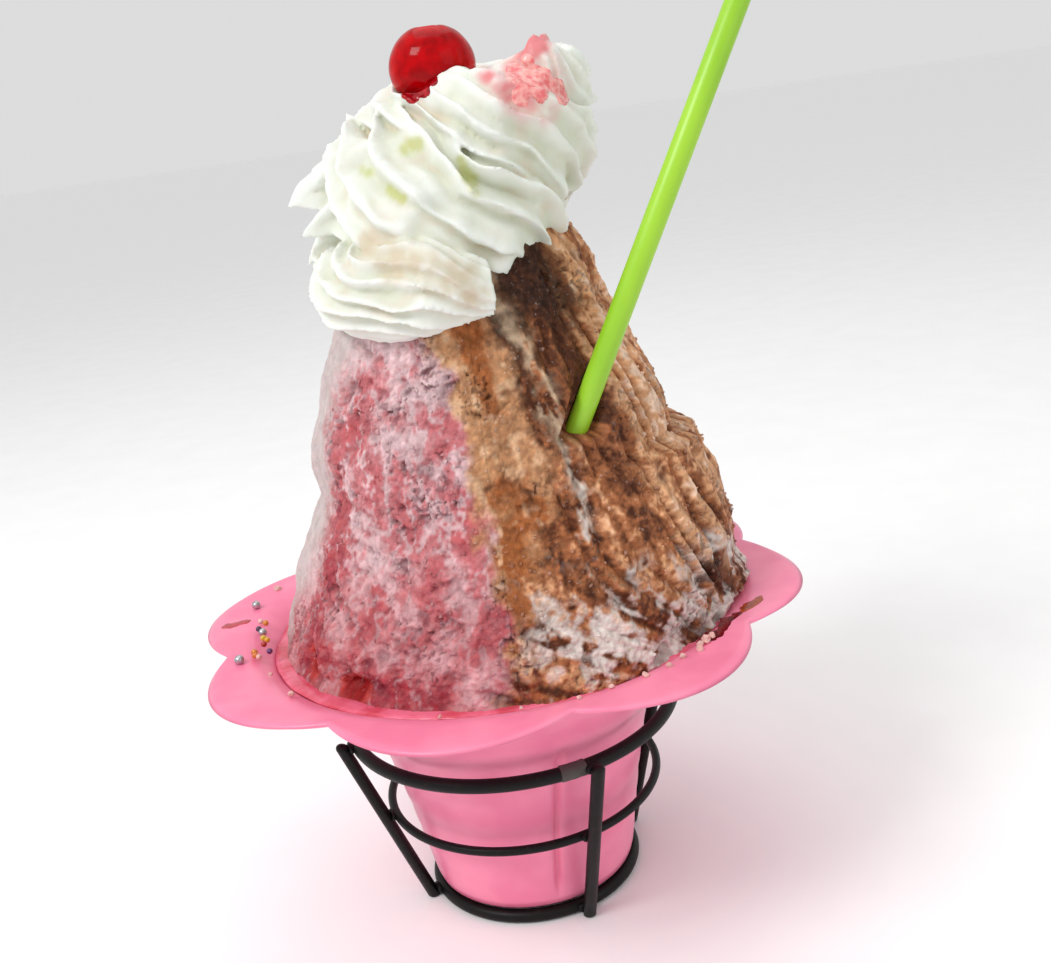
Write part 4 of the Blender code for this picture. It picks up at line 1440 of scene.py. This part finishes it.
@dataclass(frozen=True)
class LipDetails:
    """Sugar beads, syrup smears and fallen crumbs on the cup's lip."""

    placing: Placing
    lip_height: float = -0.3
    silver: Sequence[tuple[float, float, float]] = ((-64.0, 15.6, 1.15), (-62.0, -18.8, 1.2), (-59.0, -3.6, 1.05))
    coloured: Sequence[tuple[float, float, float, str]] = (
        (-59.4, 3.0, 0.75, "e08a2c"), (-61.0, 4.6, 0.70, "ecc3be"), (-60.6, -0.4, 0.75, "4a3150"),
        (-58.4, -6.6, 0.75, "e2c02e"), (-57.2, -8.0, 0.70, "e5a62a"), (-57.6, -10.4, 0.75, "b5342a"),
        (-59.2, -14.6, 0.80, "e0862a"), (-58.6, -16.6, 0.75, "de7d2c"), (-55.4, -15.2, 0.75, "6a3a6e"),
        (-57.6, -17.6, 0.70, "efc0b4"),
    )
    red_line: Sequence[tuple[float, float, float]] = (
        (43.4, -42.4, 0.9), (46.4, -41.0, 1.8), (49.8, -38.0, 2.2), (53.2, -33.6, 2.1), (56.4, -29.8, 1.2),
    )
    brown_line: Sequence[tuple[float, float, float]] = (
        (52.8, -36.8, 0.7), (55.8, -33.8, 1.8), (58.6, -29.4, 2.3), (61.2, -25.2, 1.8), (62.6, -21.8, 0.7),
    )
    old_streak: Sequence[tuple[float, float, float]] = (
        (-71.8, 5.2, 0.8), (-69.6, 6.0, 2.2), (-67.6, 6.8, 1.7), (-64.2, 8.2, 0.9),
    )

    def smear(self, name: str, line: Sequence[tuple[float, float, float]], thin: str, thick: str) -> None:
        """Lay one smear along a line on the lip.

        Args:
            name: Name of the piece.
            line: Places along it and its half width at each (mm).
            thin: Colour where it is thin.
            thick: Colour where it is thick.
        """
        stations = np.array(line)
        travelled = np.concatenate([[0.0], np.cumsum(np.hypot(*np.diff(stations[:, :2], axis=0).T))])

        def place(across: Shares, upward: Shares) -> Points:
            """Bend the grid into a flat, rounded strip."""
            where = travelled[-1] * upward
            middle = np.stack([np.interp(where, travelled, stations[:, axis]) for axis in (0, 1)], -1)
            width = np.interp(where, travelled, stations[:, 2])
            ahead = stations[-1, :2] - stations[0, :2]
            ahead /= np.linalg.norm(ahead)
            side = np.array((-ahead[1], ahead[0]))
            turn = math.tau * across
            width = width * np.sqrt(np.clip(np.sin(math.pi * upward) * 3.0, 0.0, 1.0))
            spot = np.stack([middle[:, 0] + 3.0 * np.sign(np.cos(turn)), middle[:, 1], 0.0 * where], -1)
            width = width * (1.0 + 0.7 * lumps(spot, 1.8, 531, 2))
            flat = middle + side * (width * np.cos(turn))[:, None]
            height = self.lip_height + 0.18 * np.sin(turn) * np.clip(width, 0.0, 1.0)
            return self.placing.world(np.concatenate([flat, height[:, None]], axis=1))

        mesh = bent_grid(name, 24, 48, place)
        mesh.shade_smooth()
        add_piece(name, mesh, SyrupFinish(name, tint(thin), tint(thick)).made())

    def beads(self) -> None:
        """Build the silver beads and the coloured ones."""
        shape = bmesh.new()
        for x, y, radius in self.silver:
            spot = Matrix.Translation(self.placing.world((x, y, self.lip_height + radius * 0.93)))
            bmesh.ops.create_icosphere(shape, subdivisions=3, radius=radius * MM, matrix=spot)
        mesh = to_mesh("silver_beads", shape)
        mesh.shade_smooth()
        add_piece("silver_beads", mesh, BeadFinish("silver_beads", 1.0).made())
        shape = bmesh.new()
        dyes = []
        for x, y, radius, dye in self.coloured:
            spot = Matrix.Translation(self.placing.world((x, y, self.lip_height + radius * 0.93)))
            made = bmesh.ops.create_icosphere(shape, subdivisions=3, radius=radius * MM, matrix=spot)
            dyes += [tint(dye)[:3]] * len(made["verts"])
        mesh = to_mesh("coloured_beads", shape)
        mesh.shade_smooth()
        store(mesh, "dye", np.array(dyes))
        add_piece("coloured_beads", mesh, BeadFinish("coloured_beads", 0.0).made())

    def build(self) -> None:
        """Build everything that lies on the lip, save the crumbs."""
        self.beads()
        self.smear("syrup_line", self.red_line, "7c0614", "560410")
        self.smear("syrup_smear", self.brown_line, "b4481a", "86300c")
        self.smear("syrup_streak", self.old_streak, "c8424e", "a83038")


@dataclass(frozen=True)
class LooseGrains:
    """Loose grains of shaved ice on the mound and crumbs fallen on the cup's lip."""

    placing: Placing
    mound: IceMound
    finish: bpy.types.Material
    count: int = 1500
    fallen: Sequence[tuple[float, float, float]] = (
        (-60.2, 27.1, 1.1), (45.6, -42.6, 1.3), (47.2, -41.0, 1.0), (44.0, -44.2, 0.9), (43.6, -46.2, 0.7),
        (58.6, -17.8, 1.0), (30.6, -54.6, 0.7), (36.0, -52.0, 0.8), (16.0, -60.6, 0.6), (-46.6, -39.6, 0.8),
        (-53.2, -27.6, 0.6), (-12.9, -60.0, 0.5), (4.0, -61.2, 0.5), (23.0, -57.6, 0.6), (39.4, -48.6, 0.7),
    )

    def seed(self) -> bpy.types.Mesh:
        """Make one grain: a small ball with few faces, knocked out of shape."""
        shape = bmesh.new()
        bmesh.ops.create_uvsphere(shape, u_segments=6, v_segments=4, radius=1.0)
        bmesh.ops.triangulate(shape, faces=shape.faces)
        mesh = to_mesh("grain", shape)
        points = get_points(mesh)
        set_points(mesh, points * (1.0 + 0.35 * lumps(points, 0.9, 601))[:, None])
        return mesh

    def build(self) -> None:
        """Scatter the grains."""
        chance = np.random.default_rng(611)
        azimuth = chance.uniform(-math.pi, math.pi, self.count)
        height = chance.uniform(0.5, 84.0, self.count) * chance.uniform(0.55, 1.0, self.count)
        points, facts = self.mound.surface(azimuth, height)
        lifted, _ = self.mound.surface(azimuth, height + 0.4)
        stray = np.abs(np.degrees(azimuth) - math.degrees(-0.98)) < 7.0
        kept = np.linalg.norm(lifted - points, axis=1) < 1.4
        kept &= self.mound.bareness(points, azimuth, height) < 0.4
        kept &= ~(stray & (height > 42.0) & (height < 70.0))
        points, syrup = points[kept], facts["syrup"][kept]
        sizes = chance.uniform(0.22, 0.52, len(points))
        outward = np.stack([points[:, 0] - self.mound.centre_x, points[:, 1], 0.3 * np.ones(len(points))], -1)
        outward[:, :2] /= np.linalg.norm(outward[:, :2], axis=1)[:, None]
        points = points + outward * (0.25 * sizes)[:, None]
        fallen = np.array(self.fallen)
        resting = np.stack([fallen[:, 0], fallen[:, 1], -0.3 + 0.5 * fallen[:, 2]], -1)
        points = np.concatenate([points, resting])
        sizes = np.concatenate([sizes, fallen[:, 2]])
        syrup = np.concatenate([syrup, np.tile(np.array(tint("e8b9b0")[:3]), (len(fallen), 1))])
        places = []
        for point, size in zip(self.placing.world(points), sizes):
            tilt = Matrix.Rotation(chance.uniform(0.0, math.tau), 4, Vector(chance.normal(size=3)).normalized())
            flat = Matrix.Diagonal((*(size * MM * chance.uniform(0.6, 1.2, 3)), 1.0))
            places.append(Matrix.Translation(point) @ tilt @ flat)
        grain = self.seed()
        each = len(grain.vertices)
        mesh = scattered("loose_ice_grains", grain, places)
        frosted = syrup + (np.array(tint("e0d6d4")[:3]) - syrup) * chance.uniform(0.0, 0.18, len(syrup))[:, None]
        store(mesh, "syrup", np.repeat(frosted, each, axis=0))
        store(mesh, "wet", np.full(len(mesh.vertices), 0.4))
        add_piece("loose_ice_grains", mesh, self.finish)


# ---------------------------------------------------------------- cherry, straw, cup, stand


@dataclass(frozen=True)
class Cherry:
    """Candied cherry with a stem hollow."""

    placing: Placing
    centre: tuple[float, float, float] = (4.2, -6.0, 127.0)
    radius: float = 9.5
    squash: float = 0.92
    hollow: float = 1.6

    def build(self) -> bpy.types.Object:
        """Build the cherry."""

        def place(across: Shares, upward: Shares) -> Points:
            """Wrap the grid into a dented ball."""
            azimuth, polar = math.tau * across, math.pi * upward
            away = np.stack([
                np.sin(polar) * np.cos(azimuth),
                np.sin(polar) * np.sin(azimuth),
                -np.cos(polar) * self.squash,
            ], -1)
            radius = self.radius + 0.22 * lumps(away * self.radius, 5.0, 13, 2)
            radius = radius - self.hollow * eased(2.72, math.pi, polar)
            radius = radius - 0.25 * np.exp(-((azimuth - 5.4) / 0.12) ** 2) * np.sin(polar)
            return self.placing.world(np.array(self.centre) + away * radius[:, None])

        mesh = bent_grid("cherry", 112, 72, place)
        mesh.shade_smooth()
        return add_piece("glazed_cherry", mesh, CherryFinish().made(), ("cherry",))


@dataclass(frozen=True)
class Straw:
    """Lime drinking straw stuck into the ice."""

    placing: Placing
    entry: tuple[float, float, float] = (24.1, -30.0, 48.4)
    lean: float = math.radians(27.3)
    outer: float = 2.5
    inner: float = 2.15
    above: float = 125.0
    below: float = 55.0

    def build(self) -> bpy.types.Object:
        """Build the straw as one thin-walled tube with rounded rims."""
        ahead = np.array((math.sin(self.lean), 0.0, math.cos(self.lean)))
        side = np.array((math.cos(self.lean), 0.0, -math.sin(self.lean)))
        front = np.array((0.0, 1.0, 0.0))
        middle, wall = (self.outer + self.inner) / 2, (self.outer - self.inner) / 2
        section = [(self.outer, -self.below + wall), (self.outer, self.above - wall)]
        section += [(middle, self.above), (self.inner, self.above - wall), (self.inner, -self.below + wall)]
        section += [(middle, -self.below), (self.outer, -self.below + wall)]
        cuts = [1, 24, 1, 1, 24, 1]
        steps = [0]
        for cut in cuts:
            steps.append(steps[-1] + cut)
        radii = np.interp(np.arange(steps[-1] + 1), steps, [pair[0] for pair in section])
        heights = np.interp(np.arange(steps[-1] + 1), steps, [pair[1] for pair in section])

        def place(across: Shares, upward: Shares) -> Points:
            """Wrap the grid round and through the tube."""
            step = np.round(upward * steps[-1]).astype(int)
            turn = math.tau * across
            away = side * np.cos(turn)[:, None] + front * np.sin(turn)[:, None]
            points = np.array(self.entry) + ahead * heights[step][:, None] + away * radii[step][:, None]
            return self.placing.world(points)

        mesh = bent_grid("straw", 48, steps[-1], place)
        mesh.shade_smooth()
        mesh.set_sharp_from_angle(angle=math.radians(60.0))
        finish = PlasticFinish("straw_plastic", tint("8ec424"), tint("a0d232"), 0.30, (1.0, 1.0, 0.2)).made()
        return add_piece("drinking_straw", mesh, finish, ("straw",))


@dataclass(frozen=True)
class PetalCup:
    """Tapered cup with a flared bowl and a flat lip of eight petals."""

    placing: Placing
    wall: float = 1.2
    dish: float = 0.6
    foot: float = -74.0
    side: Sequence[tuple[float, float]] = (
        (26.1, -74.0), (26.6, -73.4), (30.7, -50.0), (35.2, -29.6), (36.9, -26.9), (58.6, -3.5), (62.0, -1.5),
    )
    petals: int = 8
    turn: float = math.radians(-10.4)
    tip: float = 76.0
    notch: float = 67.4
    roundness: float = 0.46
    notch_height: float = -0.7
    tip_height: float = -1.4
    crease: Table = ((-70.0, -79.0), (-48.0, -76.5), (-24.0, -73.0))
    crease_width: float = 1.5
    crease_depth: float = 1.5
    columns: int = 384
    rows: int = 120

    def petal(self, azimuth: Shares) -> Shares:
        """Tell how far an azimuth is along a petal: 0 in a notch, 1 at a tip."""
        wave = 0.5 + 0.5 * np.cos(self.petals * (azimuth - self.turn))
        return np.maximum(wave, 0.0) ** self.roundness

    def profile(self) -> tuple[Shares, Shares, Shares]:
        """The wall's closed section: radius, height and share of the way out along a petal."""
        (rim_r, rim_z) = self.side[-1]
        outer = [(0.0, self.foot + self.dish, 0.0), *((r, z, 0.0) for r, z in self.side), (rim_r, rim_z, 1.0)]
        lift = self.wall
        inner = []
        for (low_r, low_z), (high_r, high_z) in zip(self.side[1:], self.side[2:]):
            slope = math.atan2(high_r - low_r, high_z - low_z)
            inner.append((low_r - lift * math.cos(slope), low_z + lift * math.sin(slope), 0.0))
        inner[0] = (inner[0][0], self.foot + self.wall, 0.0)
        loop = outer + [(rim_r, rim_z + lift, 1.0), (rim_r, rim_z + lift, 0.0)]
        loop += inner[::-1] + [(0.0, self.foot + self.dish + self.wall, 0.0)]
        steps = [0.0]
        for (r0, z0, s0), (r1, z1, s1) in zip(loop, loop[1:]):
            steps.append(steps[-1] + math.hypot(r1 - r0, z1 - z0) + 12.0 * abs(s1 - s0))
        fine = np.linspace(0.0, steps[-1], 1400)
        parts = []
        for index in range(3):
            values = np.interp(fine, steps, [point[index] for point in loop])
            padded = np.pad(values, 6, mode="edge")
            smooth = np.convolve(padded, np.ones(13) / 13.0, mode="valid")
            smooth[0], smooth[-1] = values[0], values[-1]
            parts.append(np.interp(np.linspace(0.0, steps[-1], self.rows + 1), fine, smooth))
        return parts[0], parts[1], parts[2]

    def build(self) -> bpy.types.Object:
        """Build the cup with its rounded lip."""
        radii, heights, shares = self.profile()
        rim_r, rim_z = self.side[-1]

        def place(across: Shares, upward: Shares) -> Points:
            """Wrap the grid round the wall's section."""
            azimuth = math.tau * across
            step = np.round(upward * self.rows).astype(int)
            petal = self.petal(azimuth)
            edge = self.notch + (self.tip - self.notch) * petal
            drop = self.notch_height + (self.tip_height - self.notch_height) * petal
            radius = radii[step] + shares[step] * (edge - rim_r)
            height = heights[step] + shares[step] * (drop - rim_z)
            wrapped = (np.degrees(azimuth) + 180.0) % 360.0 - 180.0
            apart = (wrapped - along(self.crease, height)) / self.crease_width
            body = eased(-72.0, -64.0, height) * (1.0 - eased(-30.0, -22.0, height))
            radius = radius - self.crease_depth * np.exp(-apart ** 2) * body
            radius = radius + 0.10 * np.sin(0.9 * height) * body
            return self.placing.world(np.stack([radius * np.cos(azimuth), radius * np.sin(azimuth), height], -1))

        mesh = bent_grid("petal_cup", self.columns, self.rows, place)
        mesh.shade_smooth()
        finish = PlasticFinish("cup_plastic", tint("f27fa2"), tint("fb8dad"), 0.26).made()
        return add_piece("petal_cup", mesh, finish, ("cup",))


@dataclass(frozen=True)
class WireStand:
    """Low stand of black wire: three rings and four legs."""

    placing: Placing
    rings: Sequence[tuple[str, float, float, float]] = (
        ("top", 41.6, -29.0, 1.7), ("lower", 35.2, -50.9, 1.1), ("base", 26.3, -76.0, 1.65),
    )
    leg_wire: float = 1.65
    leg_top: tuple[float, float] = (45.9, -27.2)
    leg_foot: tuple[float, float] = (29.4, -77.65)
    azimuths: Sequence[float] = (199.0, 294.0, 22.0, 112.0)
    joint_span: tuple[float, float] = (-77.0, -67.5)

    def ring(self, name: str, radius: float, height: float, wire: float, finish: bpy.types.Material) -> None:
        """Spin a round section into a ring.

        Args:
            name: Which ring.
            radius: Radius of the ring's middle line (mm).
            height: Its height (mm).
            wire: Radius of the wire (mm).
            finish: Its material.
        """
        shape = bmesh.new()
        middle = Vector(self.placing.world((radius, 0.0, height)))
        turn = Matrix.Translation(middle) @ Matrix.Rotation(math.pi / 2, 4, "X")
        bmesh.ops.create_circle(shape, segments=20, radius=wire * MM, matrix=turn)
        bmesh.ops.spin(
            shape,
            geom=shape.verts[:] + shape.edges[:],
            cent=Vector(self.placing.world((0.0, 0.0, height))),
            axis=(0.0, 0.0, 1.0),
            angle=math.tau,
            steps=144,
            use_merge=True,
        )
        bmesh.ops.recalc_face_normals(shape, faces=shape.faces)
        mesh = to_mesh(f"stand_{name}", shape)
        mesh.shade_smooth()
        add_piece(f"stand_{name}_wire", mesh, finish, (f"stand_{name}_ring",))

    def leg(self, number: int, azimuth: float, finish: bpy.types.Material) -> None:
        """Build one leg with a rounded top.

        Args:
            number: Which leg.
            azimuth: Its direction from the axis (degrees).
            finish: Its material.
        """
        turn = math.radians(azimuth)
        (top_r, top_z), (foot_r, foot_z) = self.leg_top, self.leg_foot
        knots = [(foot_z, 0.0), (foot_z, 0.75), (foot_z + 0.4, 1.0), (top_z - 1.6, 1.0)]
        knots += [(top_z - 1.6 * (1.0 - math.sin(a)), math.cos(a)) for a in np.linspace(0.2, math.pi / 2, 6)]
        heights = np.array([knot[0] for knot in knots])
        widths = np.array([knot[1] for knot in knots]) * self.leg_wire

        def place(across: Shares, upward: Shares) -> Points:
            """Wrap the grid round the leg."""
            step = np.round(upward * (len(knots) - 1)).astype(int)
            height = heights[step]
            middle = foot_r + (height - foot_z) / (top_z - foot_z) * (top_r - foot_r)
            angle = math.tau * across
            return self.placing.world(np.stack([
                middle * math.cos(turn) + widths[step] * np.cos(angle),
                middle * math.sin(turn) + widths[step] * np.sin(angle),
                height,
            ], -1))

        mesh = bent_grid(f"stand_leg_{number}_wire", 24, len(knots) - 1, place)
        mesh.shade_smooth()
        add_piece(f"stand_leg_{number}_wire", mesh, finish, (f"stand_leg_{number}",))

    def welds(self, finish: bpy.types.Material) -> None:
        """Add a small weld bead wherever a leg crosses a ring."""
        shape = bmesh.new()
        (top_r, top_z), (foot_r, foot_z) = self.leg_top, self.leg_foot
        for azimuth in self.azimuths:
            turn = math.radians(azimuth)
            for _, radius, height, wire in self.rings:
                leg_r = foot_r + (height - foot_z) / (top_z - foot_z) * (top_r - foot_r)
                reach = (radius + wire + leg_r - self.leg_wire) / 2
                spot = self.placing.world((reach * math.cos(turn), reach * math.sin(turn), height))
                place = Matrix.Translation(spot) @ Matrix.Rotation(turn, 4, "Z") @ Matrix.Diagonal((0.7, 1.9, 1.1, 1.0))
                bmesh.ops.create_icosphere(shape, subdivisions=3, radius=1.25 * MM, matrix=place)
        mesh = to_mesh("stand_welds", shape)
        points = get_points(mesh)
        set_points(mesh, points + get_normals(mesh) * (0.18 * MM * lumps(points / MM, 0.9, 3))[:, None])
        mesh.shade_smooth()
        add_piece("stand_welds", mesh, finish)

    def joint(self) -> None:
        """Add the bare weld where the top ring's two ends meet; its pale grey is partly bare metal and partly a painted
        glint.
        """
        _, radius, height, wire = self.rings[0]
        low, high = (math.radians(degrees) for degrees in self.joint_span)

        def place(across: Shares, upward: Shares) -> Points:
            """Wrap the grid round a short stretch of the ring."""
            turn, azimuth = math.tau * across, low + (high - low) * upward
            spot = np.stack([np.cos(turn), np.sin(turn), 40.0 * azimuth], -1)
            width = (wire + 0.22 + 0.14 * lumps(spot, 0.9, 701)) * np.clip(np.sin(math.pi * upward) * 5.0, 0.0, 1.0) ** 0.5
            away = radius + width * np.cos(turn)
            return self.placing.world(np.stack([
                away * np.cos(azimuth), away * np.sin(azimuth), height + width * np.sin(turn),
            ], -1))

        mesh = bent_grid("stand_joint", 24, 30, place)
        mesh.shade_smooth()
        # Pale grey of bare weld metal, partly a painted glint.
        finish = WireFinish("weld_metal_and_painted_glint", tint("4d4a47"), tint("8b8782")).made()
        add_piece("stand_joint_weld", mesh, finish)

    def build(self) -> None:
        """Build the stand."""
        finish = WireFinish().made()
        for name, radius, height, wire in self.rings:
            self.ring(name, radius, height, wire, finish)
        for number, azimuth in enumerate(self.azimuths, start=1):
            self.leg(number, azimuth, finish)
        self.welds(finish)
        self.joint()


# ---------------------------------------------------------------- studio


@dataclass(frozen=True)
class Studio:
    """Pale floor, soft lights and the camera."""

    placing: Placing
    lens: float = 40.79
    eye: tuple[float, float, float] = (11.42, -280.1, 114.8)
    aim: tuple[float, float, float] = (11.42, 0.0, 28.86)
    roll: float = math.radians(-8.18)

    def camera(self) -> None:
        """Set up the camera."""
        data = bpy.data.cameras.new("camera")
        data.lens, data.sensor_width, data.sensor_fit = self.lens, 36.0, "HORIZONTAL"
        data.clip_start = 0.01
        camera = bpy.data.objects.new("camera", data)
        eye, aim = Vector(self.placing.world(self.eye)), Vector(self.placing.world(self.aim))
        turn = (aim - eye).to_track_quat("-Z", "Y").to_matrix() @ Matrix.Rotation(self.roll, 3, "Z")
        camera.matrix_world = Matrix.Translation(eye) @ turn.to_4x4()
        bpy.context.scene.collection.objects.link(camera)
        bpy.context.scene.camera = camera

    def light(self, name: str, place: Sequence[float], size: float, power: float) -> None:
        """Hang one square soft light that faces the dessert.

        Args:
            name: Name of the light.
            place: Where it hangs (m).
            size: Side of the square (m).
            power: Its power (W).
        """
        data = bpy.data.lights.new(name, "AREA")
        data.size, data.energy = size, power
        lamp = bpy.data.objects.new(name, data)
        spot = Vector(place)
        aim = Vector(self.placing.world((0.0, 0.0, 30.0)))
        lamp.matrix_world = Matrix.Translation(spot) @ (aim - spot).to_track_quat("-Z", "Y").to_matrix().to_4x4()
        bpy.context.scene.collection.objects.link(lamp)

    def build(self) -> None:
        """Build the studio."""
        scene = bpy.context.scene
        scene.view_settings.view_transform = "Standard"
        world = bpy.data.worlds.new("studio")
        world.use_nodes = True
        world.node_tree.nodes["Background"].inputs["Color"].default_value = (1.0, 1.0, 1.0, 1.0)
        world.node_tree.nodes["Background"].inputs["Strength"].default_value = 0.72
        scene.world = world
        self.light("key", (-0.50, -0.42, 0.80), 0.35, 4.6)
        self.light("fill", (0.75, -0.55, 0.45), 0.6, 0.7)
        self.light("top", (0.05, 0.30, 0.95), 0.6, 1.2)
        shape = bmesh.new()
        bmesh.ops.create_grid(shape, x_segments=1, y_segments=1, size=30.0)
        floor = bpy.data.objects.new("floor", to_mesh("floor", shape))
        paint = Finish("floor_paper", Roughness=0.8)
        tone = paint.grain(30.0, 2.0)
        paint.feed("Base Color", paint.ramp(tone, (0.3, tint("fafafa")), (0.7, tint("fdfdfd"))))
        floor.data.materials.append(paint.material)
        scene.collection.objects.link(floor)
        self.camera()


def main() -> None:
    """Build the dressed dessert and its studio."""
    logging.basicConfig(level=logging.INFO, format="%(message)s")
    cup_sizes = PetalCup.foot
    placing = Placing.from_frame(cup_sizes)
    Studio(placing).build()
    PetalCup(placing).build()
    WireStand(placing).build()
    mound = IceMound(placing)
    ice = mound.build()
    LooseGrains(placing, mound, ice).build()
    SyrupPool(placing, mound.bowl, mound.centre_x).build()
    LipDetails(placing).build()
    cherry = Cherry(placing)
    cream = CreamSwirl(placing, cherry.centre, cherry.radius + 0.15).build()
    Sauces(placing, cream).build()
    cherry.build()
    Straw(placing).build()


if __name__ == "__main__":
    main()
